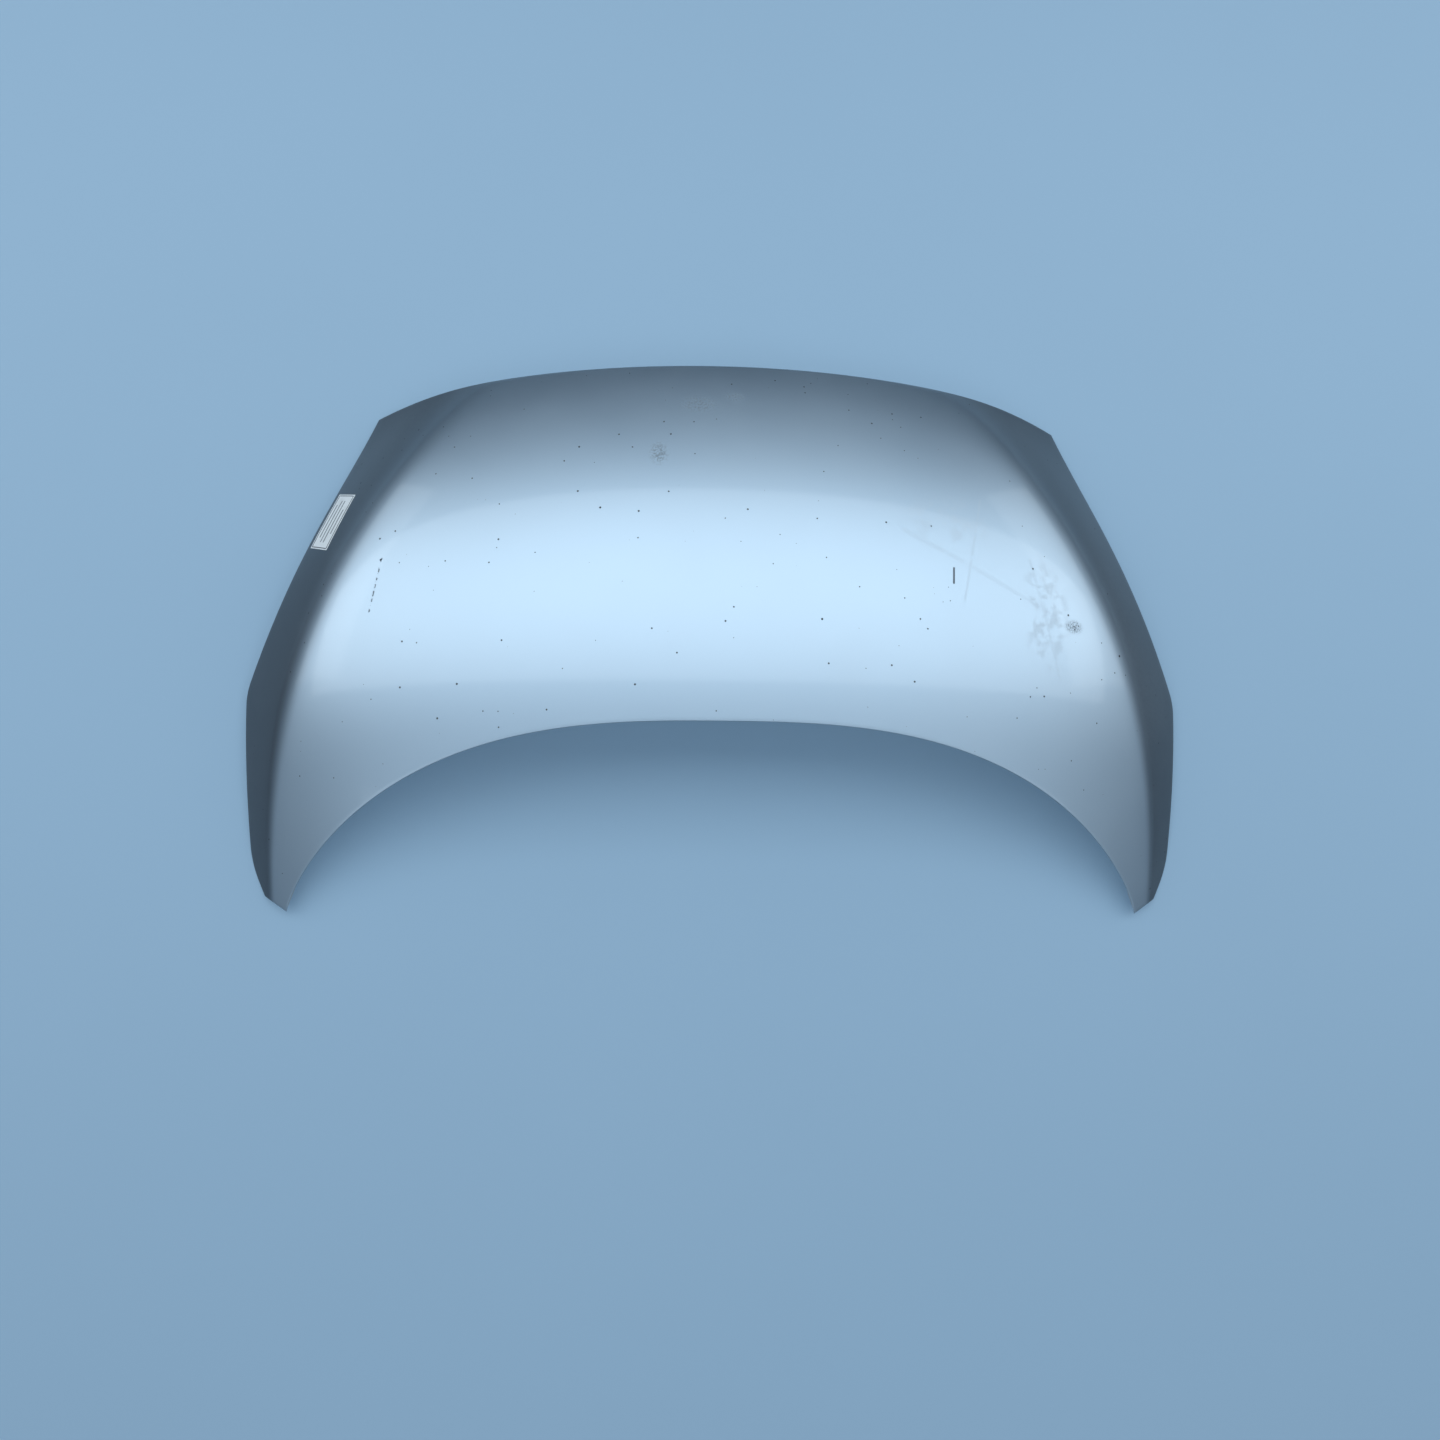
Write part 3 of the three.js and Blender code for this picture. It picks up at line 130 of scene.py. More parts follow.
@dataclass(frozen=True)
class PanelForm:
    """Outline and crown of the painted face, in millimetres.

    X runs from the centre line and Y from the tips of the rear horns to the front edge.
    """

    length: float = 835.0
    arch_depth: float = 267.0
    arch_power: float = 2.85
    arch_roundness: float = 0.77
    widest: float = 725.1
    widest_distance: float = 328.0
    front_corner: float = 553.0
    front_setback: float = 53.0
    front_power: float = 1.9
    outline_rounding: float = 12.0
    widest_rounding: float = 8.0
    shoulder: float = 704.0
    shoulder_distance: float = 70.0
    horn_cut: float = 679.0
    horn_cut_distance: float = 22.0
    horn_crease: float = 664.0
    horn_crease_distance: float = 14.0
    horn_tip: float = 640.0
    crown_height: float = 205.0
    crown_distance: float = 420.0
    crown_radius: float = 1500.0
    side_drop_rear: float = 105.0
    side_drop_front: float = 83.0
    side_drop_at: float = 600.0
    side_drop_power: float = 2.25
    crease_front: float = 375.0
    crease_power: float = 2.11
    crease_soft_rear: float = 8.0
    crease_soft_front: float = 80.0
    crease_soft_power: float = 1.5
    crease_slope: float = 0.3
    crease_extra: float = 0.24
    crease_extra_power: float = 3.0
    roll_width: float = 75.0
    roll_softness: float = 110.0
    roll_slope: float = 0.36

    def arch_edge(self, x: Lengths) -> Lengths:
        """Distance of the rear edge at a half width."""
        share = np.minimum(np.abs(x) / self.horn_tip, 1)
        return self.arch_depth * (1 - share**self.arch_power) ** self.arch_roundness

    def front_edge(self, x: Lengths) -> Lengths:
        """Distance of the front edge at a half width."""
        return self.length - self.front_setback * (np.abs(x) / self.front_corner) ** self.front_power

    @staticmethod
    def rounded_minimum(first: Lengths, second: Lengths, rounding: float) -> Lengths:
        """Smaller of two values.

        Args:
            first, second: The two values.
            rounding: Difference below which the change from one to the other is rounded off.

        Returns:
            The smaller value, a little less where the two are nearly alike.
        """
        blend = np.maximum(rounding - np.abs(first - second), 0) / rounding
        return np.minimum(first, second) - blend * blend * rounding / 4

    def side_edge(self, y: np.ndarray) -> np.ndarray:
        """Half width of the side edge.

        Args:
            y: Distance from the tips of the horns.

        Returns:
            Half width of the outline there.
        """
        corner = (float(self.front_edge(self.front_corner)), self.front_corner)
        cut = (self.horn_cut_distance, self.horn_cut)
        shoulder = (self.shoulder_distance, self.shoulder)
        widest = (self.widest_distance, self.widest)
        horn = line_through(y, cut, shoulder)
        wing = line_through(y, shoulder, widest)
        lamp = line_through(y, widest, corner)
        rear = self.rounded_minimum(horn, wing, self.outline_rounding)
        return self.rounded_minimum(rear, lamp, self.widest_rounding)

    def crease(self, y: Lengths) -> Lengths:
        """Half width of the side crease at a distance from the horns."""
        front = (float(self.front_edge(self.crease_front)), 1.0)
        share = np.maximum(line_through(y, (self.horn_crease_distance, 0.0), front), 0)
        return self.horn_crease - (self.horn_crease - self.crease_front) * share**self.crease_power

    def crease_softness(self, along: Lengths) -> Lengths:
        """Rounding of the side crease at a share of the length."""
        fade = along**self.crease_soft_power
        return self.crease_soft_rear + (self.crease_soft_front - self.crease_soft_rear) * fade

    def height(self, x: Lengths, y: Lengths) -> Lengths:
        """Height of the painted face.

        Args:
            x, y: Place from above, from the centre line and the tips of the horns.

        Returns:
            Height over the lowest level that the form is drawn from.
        """
        across = np.abs(x)
        along = np.clip(y / self.length, 0, 1)
        sag = (y - self.crown_distance) ** 2 / (2 * self.crown_radius)
        drop = self.side_drop_rear + (self.side_drop_front - self.side_drop_rear) * along
        side = drop * (across / self.side_drop_at) ** self.side_drop_power
        slope = self.crease_slope + self.crease_extra * np.sin(np.pi * along**self.crease_extra_power)
        fold = slope * soft_bend(across - self.crease(y), self.crease_softness(along))
        roll = self.roll_slope * soft_bend(y - self.front_edge(across) + self.roll_width, self.roll_softness)
        return self.crown_height - sag - side - np.hypot(fold, roll)


def coons(
    rear: np.ndarray,
    front: np.ndarray,
    left: np.ndarray,
    right: np.ndarray,
    across: np.ndarray,
    along: np.ndarray,
) -> np.ndarray:
    """Field of points between four edges.

    Args:
        rear, front: Points of the two edges that run across, one for each column.
        left, right: Points of the two edges that run along, one for each row.
        across, along: Share of each column and of each row.

    Returns:
        Array of rows by columns by two.
    """
    u = across[None, :, None]
    v = along[:, None, None]
    between_edges = (1 - v) * rear[None] + v * front[None] + (1 - u) * left[:, None] + u * right[:, None]
    corners = (1 - v) * ((1 - u) * rear[0] + u * rear[-1]) + v * ((1 - u) * front[0] + u * front[-1])
    return between_edges - corners


SHARP_CORNER = 0.5


def inset_loop(points: np.ndarray, distance: float, least: float = SHARP_CORNER) -> np.ndarray:
    """Closed anticlockwise loop moved inwards, square to its own edges.

    Args:
        points: Points of the loop.
        distance: How far it moves in.
        least: Least share that a sharp corner counts as, which limits how far it moves.

    Returns:
        The moved points.
    """
    arriving = points - np.roll(points, 1, axis=0)
    leaving = np.roll(points, -1, axis=0) - points
    arriving /= np.linalg.norm(arriving, axis=1, keepdims=True)
    leaving /= np.linalg.norm(leaving, axis=1, keepdims=True)
    normal = np.stack([-arriving[:, 1] - leaving[:, 1], arriving[:, 0] + leaving[:, 0]], axis=1)
    normal /= np.linalg.norm(normal, axis=1, keepdims=True)
    stretch = np.maximum(-normal[:, 0] * leaving[:, 1] + normal[:, 1] * leaving[:, 0], least)
    return points + normal * (distance / stretch)[:, None]


@dataclass(frozen=True)
class PanelGrid:
    """Fine grid over the painted face, from which the skin is made."""

    form: PanelForm
    main_columns: int = 64
    strip_columns: int = 14
    tip_columns: int = 6
    rows: int = 150
    main_crowding: float = 1.6
    strip_crowding: float = 1.4
    arch_crowding: float = 1.3

    @property
    def half_columns(self) -> int:
        """Columns from the centre line to one side edge."""
        return self.main_columns + self.strip_columns

    @property
    def main_shares(self) -> np.ndarray:
        """Share of each column between the centre line and the crease."""
        column = np.arange(self.main_columns + 1)
        return 1 - ((self.main_columns - column) / self.main_columns) ** self.main_crowding

    @property
    def strip_shares(self) -> np.ndarray:
        """Share of each column between the crease and the side edge."""
        return (np.arange(self.strip_columns + 1) / self.strip_columns) ** self.strip_crowding

    @property
    def row_shares(self) -> np.ndarray:
        """Share of each row between the rear edge and the front edge."""
        return np.arange(self.rows + 1) / self.rows

    def rear_line(self) -> np.ndarray:
        """Right half of the rear edge: the arch, the end of the horn and its outer corner."""
        form = self.form
        bend = self.main_columns - self.tip_columns
        arch_share = np.arange(bend) / bend
        arch_x = form.horn_tip * (1 - (1 - arch_share) ** self.arch_crowding)
        arch = np.stack([arch_x, form.arch_edge(arch_x)], axis=1)
        tip = np.array([form.horn_tip, 0.0])
        crease = np.array([form.horn_crease, form.horn_crease_distance])
        cut = np.array([form.horn_cut, form.horn_cut_distance])
        step = np.arange(self.tip_columns + 1) / self.tip_columns
        end = tip + (crease - tip) * (1 - (1 - step) ** self.main_crowding)[:, None]
        corner = crease + (cut - crease) * self.strip_shares[1:, None]
        return np.concatenate([arch, end, corner])

    def front_line(self) -> np.ndarray:
        """Right half of the front edge."""
        form = self.form
        main = form.crease_front * self.main_shares
        strip = form.crease_front + (form.front_corner - form.crease_front) * self.strip_shares[1:]
        x = np.concatenate([main, strip])
        return np.stack([x, form.front_edge(x)], axis=1)

    def side_line(self) -> np.ndarray:
        """Right side edge from the horn to the front corner."""
        form = self.form
        corner = float(form.front_edge(form.front_corner))
        y = form.horn_cut_distance + (corner - form.horn_cut_distance) * self.row_shares
        return np.stack([form.side_edge(y), y], axis=1)

    def crease_line(self) -> np.ndarray:
        """Right crease from the horn to the front edge."""
        form = self.form
        front = float(form.front_edge(form.crease_front))
        y = form.horn_crease_distance + (front - form.horn_crease_distance) * self.row_shares
        return np.stack([form.crease(y), y], axis=1)

    def edge_loop(self, distance: float, least: float = SHARP_CORNER) -> np.ndarray:
        """Outline moved inwards.

        Args:
            distance: How far it moves in.
            least: Least share that a sharp corner counts as.

        Returns:
            Closed loop, anticlockwise from the middle of the rear edge.
        """
        rear = self.rear_line()
        side = self.side_line()
        front = self.front_line()
        half = np.concatenate([rear, side[1:-1], front[::-1]])
        mirror = half[::-1][1:-1] * [-1, 1]
        return inset_loop(np.concatenate([half, mirror]), distance, least)

    def points(self, distance: float) -> np.ndarray:
        """Plan positions of the grid within an outline that is drawn in by a distance.

        Args:
            distance: How far the outline is drawn in, in millimetres.

        Returns:
            Array of rows by columns by two, from the left side edge to the right one.
        """
        loop = self.edge_loop(distance)
        half = self.half_columns
        rear = loop[: half + 1]
        side = loop[half : half + self.rows + 1]
        front = loop[half + self.rows : 2 * half + self.rows + 1][::-1]
        along = self.row_shares
        crease = self.crease_line()
        join = self.main_columns
        crease = crease + (1 - along)[:, None] * (rear[join] - crease[0])
        crease = crease + along[:, None] * (front[join] - crease[-1])
        centre = rear[0] + (front[0] - rear[0]) * along[:, None]
        main = coons(rear[: join + 1], front[: join + 1], centre, crease, self.main_shares, along)
        strip = coons(rear[join:], front[join:], crease, side, self.strip_shares, along)
        right = np.concatenate([main, strip[:, 1:]], axis=1)
        left = right[:, :0:-1] * [-1, 1]
        return np.concatenate([left, right], axis=1)


CROWN_SAMPLES = 400


@dataclass(frozen=True)
class RowFrame:
    """Change from the panel's own millimetres to the row frame's metres."""

    form: PanelForm
    middle: float
    lift: float

    @classmethod
    def from_nodes(cls, form: PanelForm) -> RowFrame:
        """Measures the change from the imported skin, which has the same outline and crown.

        Args:
            form: Outline and crown.

        Returns:
            The change.
        """
        _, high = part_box("bonnet_skin")
        middle = form.length / 2
        crown = form.height(0.0, np.linspace(form.arch_depth, form.length, CROWN_SAMPLES))
        return cls(form, middle, high.z - crown.max() * MM)

    def place(self, x: np.ndarray, y: np.ndarray, z: np.ndarray) -> np.ndarray:
        """Points in the row frame."""
        return np.stack([x * MM, (y - self.middle) * MM, z * MM + self.lift], axis=-1)

    def on_face(self, x: np.ndarray, y: np.ndarray, rise: Lengths = 0.0) -> np.ndarray:
        """Points over the painted face.

        Args:
            x, y: Places from above, in millimetres.
            rise: How far they lie over the face.

        Returns:
            The points in the row frame, in metres.
        """
        return self.place(x, y, self.form.height(x, y) + rise)


# ---------------------------------------------------------------- modelling by hand


def deselect_all() -> None:
    """Leaves nothing selected, so that operators act on one piece only."""
    bpy.ops.object.select_all(action="DESELECT")


def make_active(piece: Piece) -> None:
    """Selects one piece and makes it the active one."""
    deselect_all()
    piece.select_set(True)
    bpy.context.view_layer.objects.active = piece


def apply_modifier(piece: Piece, kind: str, **settings: object) -> None:
    """Adds a modifier and applies it.

    Args:
        piece: The piece.
        kind: Kind of the modifier.
        **settings: Its settings by name.
    """
    make_active(piece)
    modifier = piece.modifiers.new(kind.lower(), kind)
    for name, value in settings.items():
        setattr(modifier, name, value)
    bpy.ops.object.modifier_apply(modifier=modifier.name)


def ease_edges(piece: Piece, width: float, segments: int, degrees: float) -> None:
    """Bevels the sharp edges of a piece.

    Args:
        piece: The piece.
        width: Width of the bevel, in millimetres.
        segments: Number of strips that make it round.
        degrees: Angle above which an edge is bevelled.
    """
    limit = {"limit_method": "ANGLE", "angle_limit": math.radians(degrees)}
    apply_modifier(piece, "BEVEL", width=width * MM, segments=segments, **limit)


def smooth(piece: Piece, degrees: float) -> None:
    """Shades a piece smooth apart from edges sharper than an angle."""
    make_active(piece)
    bpy.ops.object.shade_smooth_by_angle(angle=math.radians(degrees))


def settle(piece: Piece) -> None:
    """Moves a piece's place into its mesh, so that its object sits at the origin."""
    make_active(piece)
    bpy.ops.object.transform_apply(location=True, rotation=True, scale=True)


def copy_of_node(node: str, name: str) -> Piece:
    """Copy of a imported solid.

    Args:
        node: Name of the solid.
        name: Name of the copy.

    Returns:
        The copy, with its own mesh and its doubled corners merged.
    """
    source = bpy.data.objects[node]
    piece = bpy.data.objects.new(name, source.data.copy())
    bpy.context.scene.collection.objects.link(piece)
    piece.data.materials.clear()
    make_active(piece)
    bpy.ops.object.mode_set(mode="EDIT")
    bpy.ops.mesh.select_all(action="SELECT")
    bpy.ops.mesh.remove_doubles(threshold=1e-6)
    bpy.ops.mesh.customdata_custom_splitnormals_clear()
    bpy.ops.object.mode_set(mode="OBJECT")
    return piece


def dress(piece: Piece, material: Material) -> None:
    """Gives every slot of a piece one material."""
    if not piece.data.materials:
        piece.data.materials.append(material)
    for index in range(len(piece.data.materials)):
        piece.data.materials[index] = material


# ---------------------------------------------------------------- shader building


class Shading:
    """Thin layer over a node tree that adds nodes and links."""

    def __init__(self, tree: NodeTree) -> None:
        """Keeps the tree."""
        self.tree = tree

    def node(self, kind: str, /, **settings: object) -> Node:
        """Adds a node and sets its properties."""
        made = self.tree.nodes.new(kind)
        for name, value in settings.items():
            setattr(made, name, value)
        return made

    def feed(self, socket: NodeSocket, value: object) -> None:
        """Links a socket to an output, or sets its value."""
        if isinstance(value, NodeSocket):
            self.tree.links.new(value, socket)
        else:
            socket.default_value = value

    def maths(self, operation: str, *values: object, clamp: bool = False) -> NodeSocket:
        """Result of a sum.

        Args:
            operation: Name of the sum.
            *values: Its numbers or outputs, in order.
            clamp: Whether the result is kept from 0 to 1.

        Returns:
            Output of the sum.
        """
        made = self.node("ShaderNodeMath", operation=operation, use_clamp=clamp)
        for socket, value in zip(made.inputs, values, strict=False):
            self.feed(socket, value)
        return made.outputs[0]

    def vector(self, operation: str, *values: object) -> Node:
        """Node of a vector sum."""
        made = self.node("ShaderNodeVectorMath", operation=operation)
        for socket, value in zip(made.inputs, values, strict=False):
            self.feed(socket, value)
        return made

    def noise(self, where: object, scale: object, detail: float = 2.0, roughness: float = 0.5) -> NodeSocket:
        """Soft noise.

        Args:
            where: Coordinates.
            scale: How fine it is.
            detail: How many finer layers it has.
            roughness: How strong those layers are.

        Returns:
            Output from 0 to 1.
        """
        made = self.node("ShaderNodeTexNoise")
        self.feed(made.inputs["Vector"], where)
        self.feed(made.inputs["Scale"], scale)
        made.inputs["Detail"].default_value = detail
        made.inputs["Roughness"].default_value = roughness
        return made.outputs["Fac"]

    def ramp(self, value: object, low: object, high: object) -> NodeSocket:
        """Smooth step.

        Args:
            value: What is measured.
            low, high: Where the step starts and ends.

        Returns:
            0 below low, 1 above high and smooth between.
        """
        made = self.node("ShaderNodeMapRange", interpolation_type="SMOOTHSTEP")
        self.feed(made.inputs["Value"], value)
        self.feed(made.inputs["From Min"], low)
        self.feed(made.inputs["From Max"], high)
        return made.outputs["Result"]

    def mix(self, share: object, first: object, second: object, kind: str = "RGBA") -> NodeSocket:
        """Blend of two colours, or of two numbers.

        Args:
            share: How much of the second.
            first, second: What is blended.
            kind: RGBA for colours and FLOAT for numbers.

        Returns:
            Output of the blend.
        """
        made = self.node("ShaderNodeMix", data_type=kind)
        self.feed(made.inputs["Factor"], share)
        self.feed(made.inputs["A"], first)
        self.feed(made.inputs["B"], second)
        return made.outputs["Result"]

    def blend(self, share: object, first: object, second: object) -> NodeSocket:
        """Blend of two numbers."""
        return self.mix(share, first, second, "FLOAT")

    def place(self) -> NodeSocket:
        """Object coordinates."""
        return self.node("ShaderNodeTexCoord").outputs["Object"]

    def bump(self, height: object, strength: float, distance: float) -> NodeSocket:
        """Normal from a height.

        Args:
            height: Height from 0 to 1.
            strength: How strongly it acts.
            distance: Rise that a height of 1 stands for, in metres.

        Returns:
            The normal.
        """
        made = self.node("ShaderNodeBump")
        made.inputs["Strength"].default_value = strength
        made.inputs["Distance"].default_value = distance
        self.feed(made.inputs["Height"], height)
        return made.outputs["Normal"]

    def use(self, group: NodeTree, **values: object) -> Node:
        """Places a node group.

        Args:
            group: The group.
            **values: Value or output for each of its inputs.

        Returns:
            The placed group.
        """
        made = self.node("ShaderNodeGroup")
        made.node_tree = group
        for name, value in values.items():
            self.feed(made.inputs[name.replace("_", " ").title()], value)
        return made


Socket = tuple[str, str, object]


def new_group(
    name: str, takes: Iterable[Socket], gives: Iterable[tuple[str, str]]
) -> tuple[Shading, dict[str, NodeSocket], Node]:
    """Starts a node group.

    Args:
        name: Name of the group.
        takes: Name, kind and usual value of each input.
        gives: Name and kind of each output.

    Returns:
        Its shading layer, its inputs by name and its output node.
    """
    tree = bpy.data.node_groups.new(name, "ShaderNodeTree")
    for label, kind, usual in takes:
        socket = tree.interface.new_socket(label, in_out="INPUT", socket_type=kind)
        if usual is not None:
            socket.default_value = usual
    for label, kind in gives:
        tree.interface.new_socket(label, in_out="OUTPUT", socket_type=kind)
    shading = Shading(tree)
    source = shading.node("NodeGroupInput")
    target = shading.node("NodeGroupOutput")
    return shading, {socket.name: socket for socket in source.outputs}, target


NUMBER = "NodeSocketFloat"
PLACE = "NodeSocketVector"


class Effects:
    """Shader groups that several finishes share."""

    def __init__(self) -> None:
        """Builds each group once."""
        self.specks = self.build_specks()
        self.dust = self.build_dust()
        self.stroke = self.build_stroke()
        self.smudge = self.build_smudge()
        self.grain = self.build_grain()

    @staticmethod
    def build_specks() -> NodeTree:
        """Small scattered spots, with a share of the cells left empty."""
        takes = [
            ("Place", PLACE, None),
            ("Scale", NUMBER, 90.0),
            ("Size", NUMBER, 0.12),
            ("Share", NUMBER, 0.3),
        ]
        shading, taken, target = new_group("scattered_specks", takes, [("Mask", NUMBER)])
        cells = shading.node("ShaderNodeTexVoronoi", voronoi_dimensions="3D", feature="F1")
        shading.feed(cells.inputs["Vector"], taken["Place"])
        shading.feed(cells.inputs["Scale"], taken["Scale"])
        chance = shading.node("ShaderNodeSeparateColor")
        shading.feed(chance.inputs[0], cells.outputs["Color"])
        size = shading.maths("MULTIPLY", taken["Size"], chance.outputs["Green"])
        inside = shading.maths("LESS_THAN", cells.outputs["Distance"], size)
        kept = shading.maths("LESS_THAN", chance.outputs["Red"], taken["Share"])
        shading.feed(target.inputs["Mask"], shading.maths("MULTIPLY", inside, kept))
        return shading.tree

    @staticmethod
    def build_dust() -> NodeTree:
        """Thin cloudy film of dust."""
        takes = [("Place", PLACE, None), ("Scale", NUMBER, 3.0), ("Amount", NUMBER, 0.4)]
        shading, taken, target = new_group("dust_film", takes, [("Mask", NUMBER)])
        broad = shading.noise(taken["Place"], taken["Scale"], detail=6.0, roughness=0.6)
        fine = shading.noise(taken["Place"], shading.maths("MULTIPLY", taken["Scale"], 60.0), detail=3.0)
        cloudy = shading.ramp(broad, 0.35, 0.8)
        speckled = shading.maths("MULTIPLY", cloudy, shading.blend(0.6, 1.0, fine))
        shading.feed(target.inputs["Mask"], shading.maths("MULTIPLY", speckled, taken["Amount"]))
        return shading.tree

    @staticmethod
    def build_stroke() -> NodeTree:
        """Line between two places, seen from above, that may be broken up."""
        takes = [
            ("Place", PLACE, None),
            ("Start", PLACE, None),
            ("End", PLACE, None),
            ("Width", NUMBER, 0.001),
            ("Gaps", NUMBER, 0.0),
        ]
        shading, taken, target = new_group("line_mark", takes, [("Mask", NUMBER)])
        flat = shading.vector("MULTIPLY", taken["Place"], (1.0, 1.0, 0.0)).outputs[0]
        along = shading.vector("SUBTRACT", taken["End"], taken["Start"]).outputs[0]
        offset = shading.vector("SUBTRACT", flat, taken["Start"]).outputs[0]
        top = shading.vector("DOT_PRODUCT", offset, along).outputs["Value"]
        bottom = shading.vector("DOT_PRODUCT", along, along).outputs["Value"]
        share = shading.maths("DIVIDE", top, bottom, clamp=True)
        scaled = shading.node("ShaderNodeVectorMath", operation="SCALE")
        shading.feed(scaled.inputs[0], along)
        shading.feed(scaled.inputs["Scale"], share)
        apart = shading.vector("DISTANCE", offset, scaled.outputs[0]).outputs["Value"]
        inner = shading.maths("MULTIPLY", taken["Width"], 0.3)
        line = shading.maths("SUBTRACT", 1.0, shading.ramp(apart, inner, taken["Width"]))
        broken = shading.noise(taken["Place"], 220.0, detail=2.0)
        kept = shading.ramp(broken, shading.maths("SUBTRACT", taken["Gaps"], 0.05), taken["Gaps"])
        shading.feed(target.inputs["Mask"], shading.maths("MULTIPLY", line, kept))
        return shading.tree

    @staticmethod
    def build_smudge() -> NodeTree:
        """Soft patch round a place, broken up by noise."""
        takes = [
            ("Place", PLACE, None),
            ("Centre", PLACE, None),
            ("Size", PLACE, (0.02, 0.01, 1.0)),
            ("Rag", NUMBER, 60.0),
        ]
        shading, taken, target = new_group("soft_patch", takes, [("Mask", NUMBER)])
        offset = shading.vector("SUBTRACT", taken["Place"], taken["Centre"]).outputs[0]
        flat = shading.vector("MULTIPLY", offset, (1.0, 1.0, 0.0)).outputs[0]
        scaled = shading.vector("DIVIDE", flat, taken["Size"]).outputs[0]
        reach = shading.vector("LENGTH", scaled).outputs["Value"]
        soft = shading.maths("SUBTRACT", 1.0, shading.ramp(reach, 0.3, 1.0))
        rag = shading.ramp(shading.noise(taken["Place"], taken["Rag"], detail=4.0), 0.4, 0.65)
        shading.feed(target.inputs["Mask"], shading.maths("MULTIPLY", soft, rag))
        return shading.tree

    @staticmethod
    def build_grain() -> NodeTree:
        """Fine even grain round a middle value."""
        takes = [
            ("Place", PLACE, None),
            ("Scale", NUMBER, 800.0),
            ("Amount", NUMBER, 0.1),
            ("Middle", NUMBER, 0.5),
        ]
        shading, taken, target = new_group("fine_grain", takes, [("Value", NUMBER)])
        noise = shading.noise(taken["Place"], taken["Scale"], detail=3.0)
        swing = shading.maths("MULTIPLY", shading.maths("SUBTRACT", noise, 0.5), taken["Amount"])
        shading.feed(target.inputs["Value"], shading.maths("ADD", taken["Middle"], swing))
        return shading.tree


def principled(name: str) -> tuple[Material, Shading, Node]:
    """New material with one Principled shader.

    Args:
        name: Name of the material.

    Returns:
        The material, its shading layer and the shader.
    """
    material = bpy.data.materials.new(name)
    material.use_nodes = True
    material.node_tree.nodes.clear()
    shading = Shading(material.node_tree)
    shader = shading.node("ShaderNodeBsdfPrincipled")
    output = shading.node("ShaderNodeOutputMaterial")
    shading.feed(output.inputs["Surface"], shader.outputs[0])
    return material, shading, shader


def tone(colour: Rgb, share: float = 1.0) -> tuple[float, float, float, float]:
    """Colour with full cover, darkened or lightened by a share."""
    return (*(min(1.0, share * part) for part in colour), 1.0)


@dataclass(frozen=True)
class LineMark:
    """Scratch or faint line on the painted face, in metres in the row frame."""

    start: Pair
    end: Pair
    width: float
    strength: float
    gaps: float = 0.0


@dataclass(frozen=True)
class PatchMark:
    """Smudge or scuff on the painted face, in metres in the row frame."""

    centre: Pair
    size: Pair
    strength: float
    rag: float = 90.0


